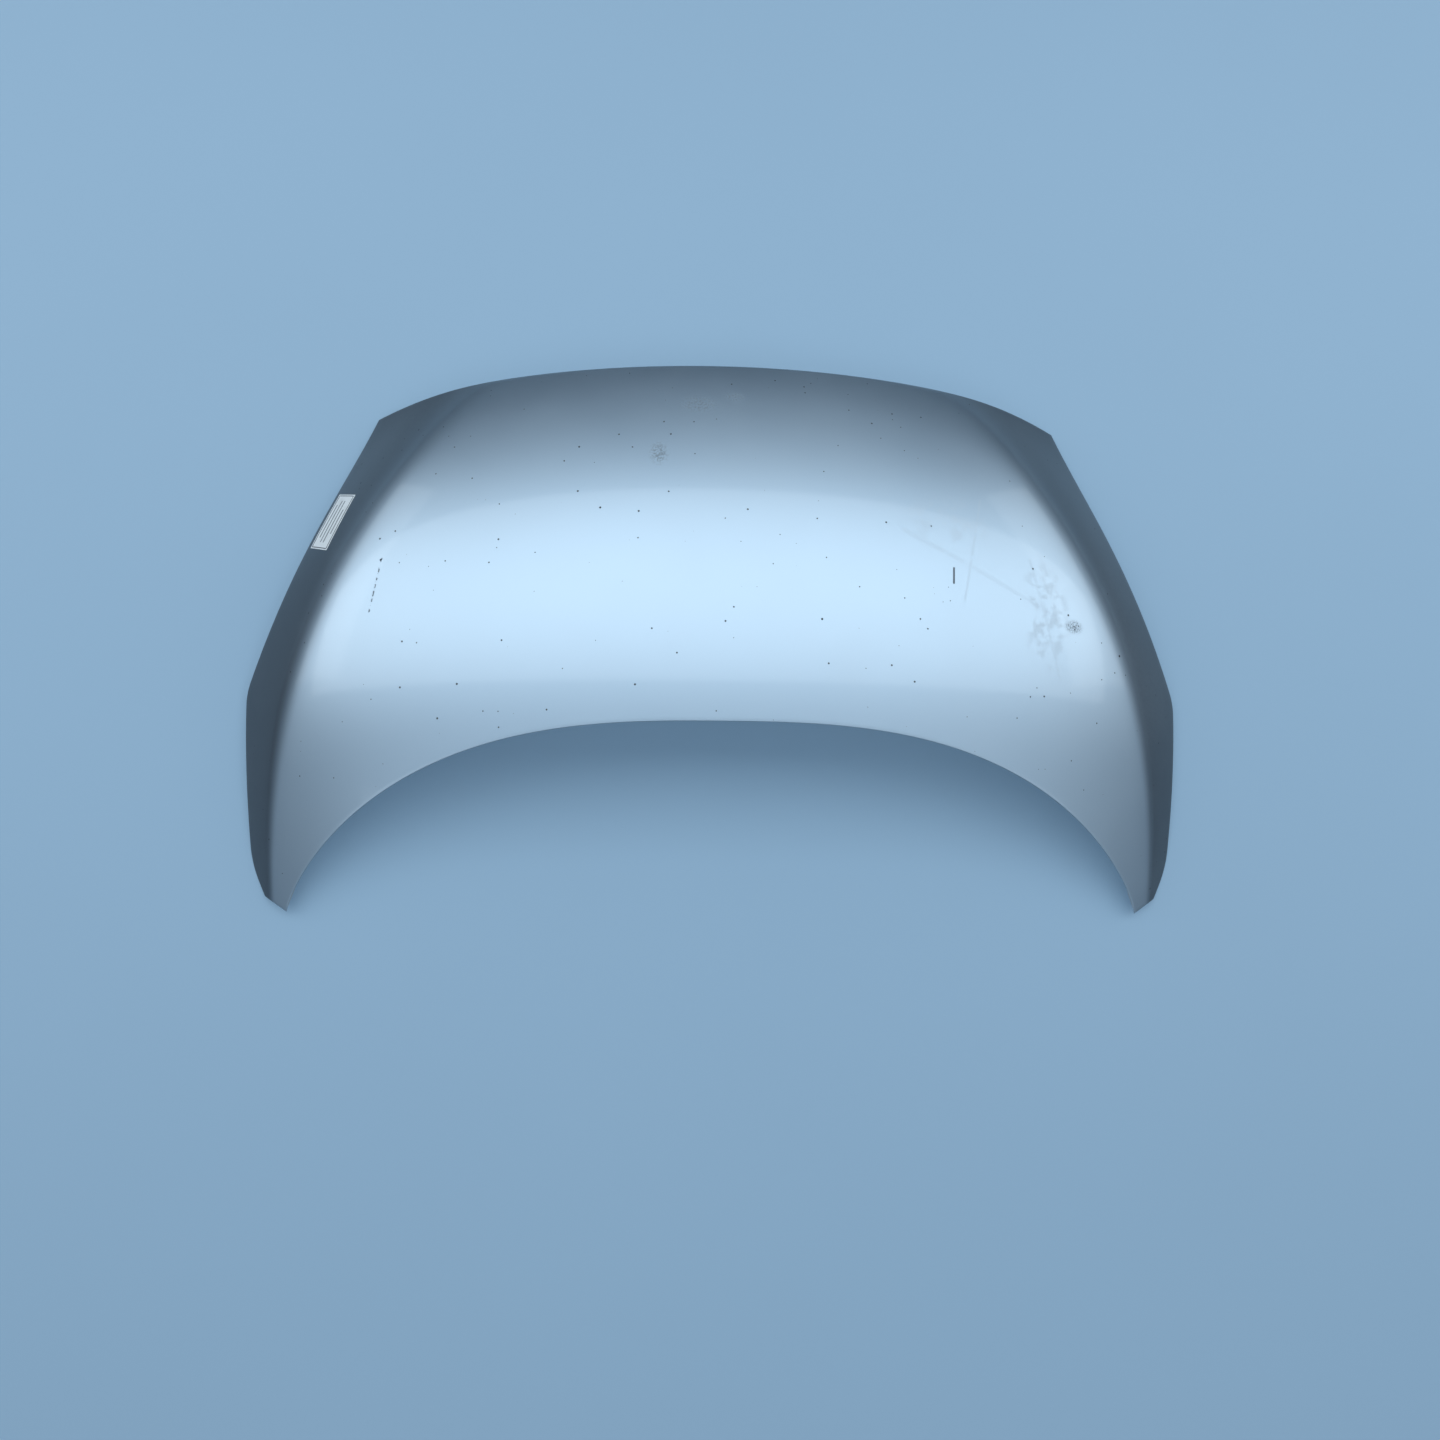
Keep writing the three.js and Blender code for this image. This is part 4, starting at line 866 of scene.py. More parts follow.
@dataclass(frozen=True)
class SilverPaint:
    """Metallic silver paint under clear coat, with stone chips, scratches and dust, painted shade on the side
    strips and a darkening at a glance that is partly painted shade.
    """

    colour: Rgb = (0.47, 0.585, 0.68)
    flake_scale: float = 1400.0
    metallic: float = 0.85
    roughness: float = 0.36
    coat_roughness: float = 0.07
    # Darkening at a glance: partly the metallic paint's flop, partly painted shade.
    flop_and_painted_shade: float = 0.78
    flop_start: float = 0.33
    flop_end: float = 0.62
    flop_and_shade_darkness: float = 0.12
    # Painted shade on the side strips: the colour goes towards a dark grey there, and the clear coat thins.
    strip_painted_shade: float = 0.85
    strip_shade_coat_loss: float = 0.6
    strip_shade_colour: Rgb = (0.075, 0.08, 0.088)
    dust_colour: Rgb = (0.62, 0.66, 0.68)
    chip_colour: Rgb = (0.05, 0.055, 0.065)
    chip_depth: float = 0.0002
    dark_lines: tuple[LineMark, ...] = ()
    pale_lines: tuple[LineMark, ...] = ()
    smudges: tuple[PatchMark, ...] = ()
    scuffs: tuple[PatchMark, ...] = ()

    def lines(self, shading: Shading, effects: Effects, place: object, marks: Sequence[LineMark]) -> object:
        """Strongest of a set of line marks.

        Args:
            shading: Layer that the nodes go into.
            effects: Shared groups.
            place: Object coordinates.
            marks: The marks.

        Returns:
            Mask of the marks.
        """
        total: object = 0.0
        for mark in marks:
            made = shading.use(
                effects.stroke,
                place=place,
                start=(*mark.start, 0),
                end=(*mark.end, 0),
                width=mark.width,
                gaps=mark.gaps,
            )
            total = shading.maths("MAXIMUM", total, shading.maths("MULTIPLY", made.outputs[0], mark.strength))
        return total

    def patches(
        self, shading: Shading, effects: Effects, place: object, marks: Sequence[PatchMark]
    ) -> object:
        """Strongest of a set of patches.

        Args:
            shading: Layer that the nodes go into.
            effects: Shared groups.
            place: Object coordinates.
            marks: The patches.

        Returns:
            Mask of the patches.
        """
        total: object = 0.0
        for mark in marks:
            made = shading.use(
                effects.smudge, place=place, centre=(*mark.centre, 0), size=(*mark.size, 1), rag=mark.rag
            )
            total = shading.maths("MAXIMUM", total, shading.maths("MULTIPLY", made.outputs[0], mark.strength))
        return total

    def base_colour(self, shading: Shading, effects: Effects, place: object, strip: object) -> object:
        """Flaked colour with painted shade: darker at a glance, which is partly the paint's flop, and darker
        on the side strips.

        Args:
            shading: Layer that the nodes go into.
            effects: Shared groups.
            place: Object coordinates.
            strip: Share of the side strip at each point, which sets the painted shade there.

        Returns:
            Colour before dust and chips.
        """
        flake = shading.use(effects.grain, place=place, scale=self.flake_scale, amount=0.5).outputs[0]
        broad = shading.noise(place, 4.0, detail=3.0)
        base = shading.mix(broad, tone(self.colour, 0.94), tone(self.colour))
        base = shading.mix(flake, base, tone(self.colour, 1.12))
        # Partly flop, partly painted shade: the colour darkens where the face turns from the eye.
        glance = shading.node("ShaderNodeLayerWeight")
        glance.inputs["Blend"].default_value = 0.5
        turned_away = shading.ramp(glance.outputs["Facing"], self.flop_start, self.flop_end)
        dulled = shading.maths("MULTIPLY", turned_away, self.flop_and_painted_shade)
        base = shading.mix(dulled, base, tone(self.colour, self.flop_and_shade_darkness))
        # Painted shade on the side strips, darkening the colour towards a dark grey.
        return shading.mix(shading.maths("MULTIPLY", strip, self.strip_painted_shade), base, tone(self.strip_shade_colour))

    def material(self, effects: Effects) -> Material:
        """Builds the paint.

        Args:
            effects: Shared groups.

        Returns:
            The paint's material.
        """
        material, shading, shader = principled("silver_paint")
        place = shading.place()
        strip = shading.node("ShaderNodeAttribute", attribute_name=STRIP_SHARE).outputs["Fac"]
        base = self.base_colour(shading, effects, place, strip)
        dust = shading.use(effects.dust, place=place, scale=2.5, amount=0.22).outputs[0]
        scuff = self.patches(shading, effects, place, self.scuffs)
        pale = self.lines(shading, effects, place, self.pale_lines)
        film = shading.maths("MAXIMUM", dust, shading.maths("MAXIMUM", scuff, pale))
        base = shading.mix(shading.maths("MULTIPLY", film, 0.5), base, tone(self.dust_colour))
        fine = shading.use(effects.specks, place=place, scale=90.0, size=0.14, share=0.22).outputs[0]
        coarse = shading.use(effects.specks, place=place, scale=32.0, size=0.06, share=0.5).outputs[0]
        chips = shading.maths("MAXIMUM", fine, coarse)
        dark = shading.maths("MAXIMUM", chips, self.lines(shading, effects, place, self.dark_lines))
        bumps = shading.bump(shading.maths("SUBTRACT", 1.0, dark), 0.4, self.chip_depth)
        dark = shading.maths("MAXIMUM", dark, self.patches(shading, effects, place, self.smudges))
        shading.feed(shader.inputs["Base Color"], shading.mix(dark, base, tone(self.chip_colour)))
        chipped = shading.maths("MULTIPLY", dark, self.metallic * 0.8)
        bright = shading.maths("SUBTRACT", self.metallic, chipped)
        bright = shading.maths("SUBTRACT", bright, shading.maths("MULTIPLY", film, 0.35))
        shading.feed(shader.inputs["Metallic"], bright)
        rough = shading.maths("ADD", self.roughness, shading.maths("MULTIPLY", film, 0.25))
        rough = shading.maths("ADD", rough, shading.maths("MULTIPLY", dark, 0.3))
        shading.feed(shader.inputs["Roughness"], rough)
        wear_and_strip_shade = shading.maths("MAXIMUM", dark, shading.maths("MULTIPLY", film, 0.5))
        # The side strips lose clear coat along with their painted shade.
        wear_and_strip_shade = shading.maths("MAXIMUM", wear_and_strip_shade, shading.maths("MULTIPLY", strip, self.strip_shade_coat_loss))
        shading.feed(shader.inputs["Coat Weight"], shading.maths("SUBTRACT", 1.0, wear_and_strip_shade))
        shader.inputs["Coat Roughness"].default_value = self.coat_roughness
        shading.feed(shader.inputs["Normal"], bumps)
        return material


@dataclass(frozen=True)
class SatinPaint:
    """Thin satin coat of body colour on the inner panel, with patches and specks of dirt."""

    colour: Rgb = (0.42, 0.48, 0.53)
    metallic: float = 0.5
    roughness: float = 0.5
    dirt_colour: Rgb = (0.16, 0.15, 0.13)

    def material(self, effects: Effects) -> Material:
        """Builds the paint.

        Args:
            effects: Shared groups.

        Returns:
            The paint's material.
        """
        material, shading, shader = principled("inner_paint")
        place = shading.place()
        grain = shading.use(effects.grain, place=place, scale=500.0, amount=0.6).outputs[0]
        base = shading.mix(grain, tone(self.colour, 0.9), tone(self.colour, 1.08))
        dirt = shading.use(effects.dust, place=place, scale=6.0, amount=0.7).outputs[0]
        specks = shading.use(effects.specks, place=place, scale=120.0, size=0.12, share=0.12).outputs[0]
        dirt = shading.maths("MULTIPLY", dirt, 0.6)
        stain = shading.maths("MAXIMUM", dirt, shading.maths("MULTIPLY", specks, 0.8))
        shading.feed(shader.inputs["Base Color"], shading.mix(stain, base, tone(self.dirt_colour)))
        bright = shading.maths("SUBTRACT", self.metallic, shading.maths("MULTIPLY", stain, self.metallic))
        shading.feed(shader.inputs["Metallic"], bright)
        rough = shading.maths("ADD", self.roughness, shading.maths("MULTIPLY", stain, 0.3))
        shading.feed(shader.inputs["Roughness"], rough)
        peel = shading.noise(place, 260.0, detail=2.0)
        shading.feed(shader.inputs["Normal"], shading.bump(peel, 0.12, 0.0005))
        return material


@dataclass(frozen=True)
class PlainFinish:
    """Finish of a small part: a grained colour that darkens with dirt."""

    name: str
    colour: Rgb
    metallic: float
    roughness: float
    grain_scale: float
    grain_amount: float
    dirt_colour: Rgb
    dirt: float
    bump: float

    def material(self, effects: Effects) -> Material:
        """Builds the finish.

        Args:
            effects: Shared groups.

        Returns:
            The finish's material.
        """
        material, shading, shader = principled(self.name)
        place = shading.place()
        grain = shading.use(effects.grain, place=place, scale=self.grain_scale, amount=1.6).outputs[0]
        base = shading.mix(
            grain, tone(self.colour, 1 - self.grain_amount), tone(self.colour, 1 + self.grain_amount)
        )
        film = shading.use(effects.dust, place=place, scale=30.0, amount=self.dirt).outputs[0]
        shading.feed(shader.inputs["Base Color"], shading.mix(film, base, tone(self.dirt_colour)))
        if self.metallic:
            dulled = shading.maths("MULTIPLY", film, self.metallic)
            shading.feed(shader.inputs["Metallic"], shading.maths("SUBTRACT", self.metallic, dulled))
        rough = shading.blend(grain, self.roughness * 0.85, min(1.0, self.roughness * 1.15))
        rough = shading.maths("ADD", rough, shading.maths("MULTIPLY", film, 0.25))
        shading.feed(shader.inputs["Roughness"], rough)
        shading.feed(shader.inputs["Normal"], shading.bump(grain, self.bump, 0.0003))
        return material


@dataclass(frozen=True)
class LabelPaper:
    """White coated paper with a thin printed border and plain grey rules."""

    centre: Pair
    turn: float
    length: float
    width: float
    colour: Rgb = (0.86, 0.87, 0.86)
    ink: Rgb = (0.06, 0.06, 0.07)
    border_inset: float = 0.0026
    border_line: float = 0.0007
    rules: tuple[Pair, ...] = ((0.0105, 0.30), (0.0035, 0.38), (-0.0035, 0.38), (-0.0105, 0.22))
    rule_line: float = 0.0011
    rule_ink: float = 0.75

    def material(self, effects: Effects) -> Material:
        """Builds the paper.

        Args:
            effects: Shared groups.

        Returns:
            The paper's material.
        """
        material, shading, shader = principled("label_paper")
        mapping = shading.node("ShaderNodeMapping", vector_type="TEXTURE")
        mapping.inputs["Location"].default_value = (*self.centre, 0)
        mapping.inputs["Rotation"].default_value = (0, 0, self.turn)
        place = shading.place()
        shading.feed(mapping.inputs["Vector"], place)
        axes = shading.node("ShaderNodeSeparateXYZ")
        shading.feed(axes.inputs[0], mapping.outputs[0])
        along = axes.outputs["X"]
        across = axes.outputs["Y"]
        ink = self.border(shading, along, across)
        for offset, reach in self.rules:
            ink = shading.maths("MAXIMUM", ink, self.rule(shading, along, across, offset, reach))
        smear = shading.noise(place, 40.0, detail=4.0)
        paper = shading.mix(
            shading.ramp(smear, 0.45, 0.8), tone(self.colour), tone(self.colour, 0.85)
        )
        shading.feed(shader.inputs["Base Color"], shading.mix(ink, paper, tone(self.ink)))
        fibre = shading.use(effects.grain, place=place, scale=900.0, amount=0.4).outputs[0]
        shading.feed(shader.inputs["Roughness"], shading.blend(fibre, 0.45, 0.65))
        shading.feed(shader.inputs["Normal"], shading.bump(fibre, 0.1, 0.0002))
        return material

    def border(self, shading: Shading, along: object, across: object) -> object:
        """Thin frame just inside the edge.

        Args:
            shading: Layer that the nodes go into.
            along, across: Place on the label from its middle.

        Returns:
            Mask of the frame.
        """
        half_length = self.length / 2 - self.border_inset
        half_width = self.width / 2 - self.border_inset
        result: object = 0.0
        for axis, half, other, other_half in (
            (along, half_length, across, half_width),
            (across, half_width, along, half_length),
        ):
            off = shading.maths("ABSOLUTE", shading.maths("SUBTRACT", shading.maths("ABSOLUTE", axis), half))
            near = shading.maths("LESS_THAN", off, self.border_line)
            within = shading.maths("LESS_THAN", shading.maths("ABSOLUTE", other), other_half)
            result = shading.maths("MAXIMUM", result, shading.maths("MULTIPLY", near, within))
        return result

    def rule(self, shading: Shading, along: object, across: object, offset: float, reach: float) -> object:
        """Plain rule along the label.

        Args:
            shading: Layer that the nodes go into.
            along, across: Place on the label from its middle.
            offset: Distance of the rule from the middle line.
            reach: Share of the label's length that it runs either way.

        Returns:
            Mask of the rule.
        """
        off = shading.maths("ABSOLUTE", shading.maths("SUBTRACT", across, offset))
        near = shading.maths("LESS_THAN", off, self.rule_line)
        within = shading.maths("LESS_THAN", shading.maths("ABSOLUTE", along), self.length * reach)
        return shading.maths("MULTIPLY", shading.maths("MULTIPLY", near, within), self.rule_ink)


DARK_LINES = (
    LineMark((0.3322, 0.0790), (0.3310, 0.0562), 0.0020, 0.9),
    LineMark((-0.4930, 0.0912), (-0.5072, 0.0109), 0.0016, 0.75, 0.52),
)
PALE_LINES = (
    LineMark((0.3809, 0.1910), (0.3467, 0.0318), 0.0030, 0.32, 0.42),
    LineMark((0.2609, 0.1325), (0.4981, 0.0136), 0.0060, 0.22, 0.42),
    LineMark((0.4543, 0.1019), (0.4943, -0.0762), 0.0035, 0.3, 0.45),
)
SMUDGES = (
    PatchMark((-0.0367, 0.3336), (0.034, 0.020), 0.5, 260.0),
    PatchMark((-0.0943, 0.2437), (0.018, 0.024), 0.5, 300.0),
    PatchMark((0.0174, 0.3493), (0.020, 0.012), 0.45, 280.0),
    PatchMark((0.5216, 0.0050), (0.018, 0.013), 0.9, 620.0),
)
SCUFFS = (
    PatchMark((0.4750, 0.0200), (0.055, 0.120), 0.5, 70.0),
    PatchMark((0.3300, 0.1500), (0.090, 0.060), 0.3, 50.0),
)

ZINC = PlainFinish(
    name="zinc_steel",
    colour=(0.6, 0.6, 0.56),
    metallic=0.85,
    roughness=0.4,
    grain_scale=160.0,
    grain_amount=0.12,
    dirt_colour=(0.28, 0.24, 0.19),
    dirt=0.35,
    bump=0.05,
)
STEEL = PlainFinish(
    name="bare_steel",
    colour=(0.44, 0.45, 0.46),
    metallic=0.95,
    roughness=0.34,
    grain_scale=420.0,
    grain_amount=0.12,
    dirt_colour=(0.12, 0.1, 0.08),
    dirt=0.35,
    bump=0.05,
)
RUBBER = PlainFinish(
    name="black_rubber",
    colour=(0.022, 0.022, 0.024),
    metallic=0.0,
    roughness=0.72,
    grain_scale=700.0,
    grain_amount=0.25,
    dirt_colour=(0.16, 0.15, 0.14),
    dirt=0.35,
    bump=0.12,
)
PLASTIC = PlainFinish(
    name="black_plastic",
    colour=(0.028, 0.028, 0.031),
    metallic=0.0,
    roughness=0.52,
    grain_scale=900.0,
    grain_amount=0.2,
    dirt_colour=(0.16, 0.15, 0.14),
    dirt=0.25,
    bump=0.15,
)
MASTIC = PlainFinish(
    name="mastic",
    colour=(0.09, 0.088, 0.08),
    metallic=0.0,
    roughness=0.8,
    grain_scale=350.0,
    grain_amount=0.3,
    dirt_colour=(0.2, 0.19, 0.17),
    dirt=0.3,
    bump=0.3,
)


# ---------------------------------------------------------------- the pieces


@dataclass
class OuterSkin:
    """Painted outer sheet with its edge folded back in a hem."""

    grid: PanelGrid
    row: RowFrame
    sheet: float = 0.8
    hem_width: float = 12.0
    hem_depth: float = 3.0
    hem_steps: int = 4
    strip_at_crease: float = 0.4
    smooth_angle: float = 50.0

    def hem_rings(self) -> list[Pair]:
        """Inset and drop of each ring of the folded edge, from the top face to the hem's end."""
        radius = self.hem_depth / 2
        rings = []
        for step in range(2 * self.hem_steps + 1):
            angle = math.pi * step / (2 * self.hem_steps)
            rings.append((radius * (1 - math.sin(angle)), radius * (1 - math.cos(angle))))
        rings.append((self.hem_width, self.hem_depth))
        return rings

    def build(self) -> Piece:
        """Shapes a grid into the crowned face, extrudes the hem and gives the sheet its thickness."""
        rings = self.hem_rings()
        columns = 2 * self.grid.half_columns
        rows = self.grid.rows
        deselect_all()
        bpy.ops.mesh.primitive_grid_add(x_subdivisions=columns, y_subdivisions=rows, size=1.0)
        piece = bpy.context.active_object
        piece.name = "painted_outer_skin"
        plan = self.grid.points(rings[0][0])
        face = self.row.on_face(plan[..., 0], plan[..., 1])
        for vertex in piece.data.vertices:
            column = round((vertex.co.x + 0.5) * columns)
            line = round((vertex.co.y + 0.5) * rows)
            vertex.co = face[line, column]
        self.extrude_hem(piece, rings)
        self.mark_strips(piece)
        apply_modifier(piece, "SOLIDIFY", thickness=self.sheet * MM, offset=-1.0, use_even_offset=True)
        smooth(piece, self.smooth_angle)
        return piece

    def mark_strips(self, piece: Piece) -> None:
        """Notes at each point how far it lies over the crease into the side strip, which sets the painted
        shade there.

        Args:
            piece: The skin before its thickness.
        """
        form = self.grid.form
        shares = piece.data.attributes.new(STRIP_SHARE, "FLOAT", "POINT")
        for vertex, share in zip(piece.data.vertices, shares.data, strict=True):
            y = vertex.co.y / MM + self.row.middle
            along = min(max(y / form.length, 0.0), 1.0)
            over = (abs(vertex.co.x) / MM - float(form.crease(y))) / form.crease_softness(along)
            level = min(max(self.strip_at_crease + (1 - self.strip_at_crease) * over, 0.0), 1.0)
            share.value = level * level * (3 - 2 * level)

    def ring_points(self, inset: float, drop: float) -> np.ndarray:
        """Points of one ring of the folded edge.

        Args:
            inset: How far the ring lies inside the outline.
            drop: How far it lies below the painted face.

        Returns:
            The points in the row frame. The hem's inner edge isn't drawn out at its corners.
        """
        loop = self.grid.edge_loop(inset, 1.0 if inset > self.hem_depth else SHARP_CORNER)
        return self.row.on_face(loop[:, 0], loop[:, 1], -drop)

    def extrude_hem(self, piece: Piece, rings: Sequence[Pair]) -> None:
        """Extrudes the open edge round the fold and back to the hem's end.

        Args:
            piece: The crowned face.
            rings: Inset and drop of each ring of the fold.
        """
        make_active(piece)
        bpy.ops.object.mode_set(mode="EDIT")
        bpy.ops.mesh.select_all(action="DESELECT")
        mesh = bmesh.from_edit_mesh(piece.data)
        for edge in mesh.edges:
            edge.select_set(edge.is_boundary)
        bmesh.update_edit_mesh(piece.data)
        before = self.ring_points(*rings[0])
        for inset, drop in rings[1:]:
            after = self.ring_points(inset, drop)
            bpy.ops.mesh.extrude_edges_move()
            mesh = bmesh.from_edit_mesh(piece.data)
            for vertex in mesh.verts:
                if vertex.select:
                    index = int(np.argmin(((before - np.array(vertex.co)) ** 2).sum(axis=1)))
                    vertex.co = after[index]
            bmesh.update_edit_mesh(piece.data)
            before = after
        bpy.ops.object.mode_set(mode="OBJECT")


@dataclass
class StockLabel:
    """Paper label stuck on the left side strip, along the lamp edge."""

    row: RowFrame
    grid: PanelGrid
    length: float = 98.0
    width: float = 40.0
    distance: float = 590.0
    inset: float = 30.0
    paper: float = 0.25
    gap: float = 0.05
    steps: int = 30
    lanes: int = 14
    curl: float = 15.0
    curl_from_end: float = 0.47
    curl_from_side: float = 0.3

    @property
    def way(self) -> np.ndarray:
        """Direction of the label's long side, towards the front."""
        form = self.row.form
        ends = np.array([self.distance - self.length / 2, self.distance + self.length / 2])
        across = form.side_edge(ends)
        way = np.array([-(across[1] - across[0]), self.length])
        return way / np.linalg.norm(way)

    @property
    def centre(self) -> np.ndarray:
        """Middle of the label from above."""
        edge = self.row.form.side_edge(np.array([self.distance]))[0]
        return np.array([-edge + self.inset, self.distance])

    def finish(self) -> LabelPaper:
        """Paper with its pattern laid along the label."""
        centre = self.row.place(self.centre[0], self.centre[1], 0.0)
        turn = math.atan2(self.way[1], self.way[0])
        return LabelPaper((float(centre[0]), float(centre[1])), turn, self.length * MM, self.width * MM)

    def build(self) -> Piece:
        """Lays a small grid on the painted face, lifts its corners and gives it the paper's thickness."""
        deselect_all()
        bpy.ops.mesh.primitive_grid_add(x_subdivisions=self.steps, y_subdivisions=self.lanes, size=1.0)
        piece = bpy.context.active_object
        piece.name = "paper_stock_label"
        side = np.array([self.way[1], -self.way[0]])
        for vertex in piece.data.vertices:
            plan = self.centre + self.way * vertex.co.x * self.length - side * vertex.co.y * self.width
            past_end = max(0.0, abs(vertex.co.x) - self.curl_from_end)
            past_side = max(0.0, abs(vertex.co.y) - self.curl_from_side)
            lift = self.curl * past_end * past_side
            vertex.co = self.row.on_face(plan[0], plan[1], self.gap + self.paper + lift)
        apply_modifier(piece, "SOLIDIFY", thickness=self.paper * MM, offset=-1.0)
        smooth(piece, 40)
        return piece


@dataclass
class InnerPanel:
    """Pressed inner panel, taken from its solid with merged corners."""

    smooth_angle: float = 50.0

    def build(self) -> Piece:
        """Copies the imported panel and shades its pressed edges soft."""
        piece = copy_of_node("inner_panel", "pressed_inner_panel")
        smooth(piece, self.smooth_angle)
        return piece


@dataclass(frozen=True)
class Seat:
    """Place of a fitting on the inner panel, in millimetres in the row frame.

    Its upward axis is square to the sheet, and its forward axis points to the front edge.
    """

    origin: Place
    up: Place

    def matrix(self) -> Matrix:
        """Turn and place of the fitting, in metres."""
        up = Vector(self.up).normalized()
        right = Vector((1.0, 0.0, 0.0)) - up * up.x
        right.normalize()
        turn = Matrix((right, up.cross(right), up)).transposed().to_4x4()
        return Matrix.Translation(Vector(self.origin) * MM) @ turn

    def mirrored(self) -> Seat:
        """Same place on the other side."""
        return Seat((-self.origin[0], *self.origin[1:]), (-self.up[0], *self.up[1:]))


ROUND_SIDES = 48
TURNED_EDGE_ANGLE = 30.0
TURNED_SMOOTH_ANGLE = 35.0


def turned(name: str, profile: Sequence[Pair], edge: float) -> Piece:
    """Round solid, extruded ring by ring from a disc and eased at its edges.

    Args:
        name: Name of the piece.
        profile: Radius and height of each ring, in millimetres.
        edge: Width of the eased edges, in millimetres.

    Returns:
        The solid, upright at the origin.
    """
    radius, height = profile[0]
    deselect_all()
    bpy.ops.mesh.primitive_circle_add(
        vertices=ROUND_SIDES, radius=radius * MM, fill_type="NGON", location=(0, 0, height * MM)
    )
    piece = bpy.context.active_object
    piece.name = name
    settle(piece)
    bpy.ops.object.mode_set(mode="EDIT")
    bpy.ops.mesh.select_mode(type="FACE")
    bpy.ops.mesh.select_all(action="SELECT")
    for next_radius, next_height in profile[1:]:
        climb = (0, 0, (next_height - height) * MM)
        growth = next_radius / radius
        bpy.ops.mesh.extrude_region_move(TRANSFORM_OT_translate={"value": climb})
        bpy.ops.transform.resize(value=(growth, growth, 1), center_override=(0, 0, next_height * MM))
        radius, height = next_radius, next_height
    bpy.ops.mesh.select_all(action="SELECT")
    bpy.ops.mesh.normals_make_consistent(inside=False)
    bpy.ops.object.mode_set(mode="OBJECT")
    ease_edges(piece, edge, 3, TURNED_EDGE_ANGLE)
    smooth(piece, TURNED_SMOOTH_ANGLE)
    return piece


ROD_SIDES_PER_QUARTER = 6
ROD_SMOOTH_ANGLE = 50.0


def rod(name: str, path: Sequence[Place], radius: float) -> Piece:
    """Round rod along a path, as a mesh.

    Args:
        name: Name of the piece.
        path: Points of its middle line, in millimetres.
        radius: Radius of the rod, in millimetres.

    Returns:
        The rod with closed ends.
    """
    line = bpy.data.curves.new(name, "CURVE")
    line.dimensions = "3D"
    line.bevel_depth = radius * MM
    line.bevel_resolution = ROD_SIDES_PER_QUARTER
    line.use_fill_caps = True
    spline = line.splines.new("POLY")
    spline.points.add(len(path) - 1)
    for point, place in zip(spline.points, path, strict=True):
        point.co = (*(value * MM for value in place), 1.0)
    piece = bpy.data.objects.new(name, line)
    bpy.context.scene.collection.objects.link(piece)
    make_active(piece)
    bpy.ops.object.convert(target="MESH")
    piece = bpy.context.active_object
    smooth(piece, ROD_SMOOTH_ANGLE)
    return piece


def seated(piece: Piece, name: str, matrix: Matrix) -> Piece:
    """Copy of a fitting with its own mesh, put in its place.

    Args:
        piece: The fitting, at the origin.
        name: Name of the copy.
        matrix: Turn and place of the copy.

    Returns:
        The copy, with its place in its mesh.
    """
    copied = bpy.data.objects.new(name, piece.data.copy())
    bpy.context.scene.collection.objects.link(copied)
    copied.matrix_world = matrix
    settle(copied)
    return copied


Built = tuple[Piece, str, str, BodyName]


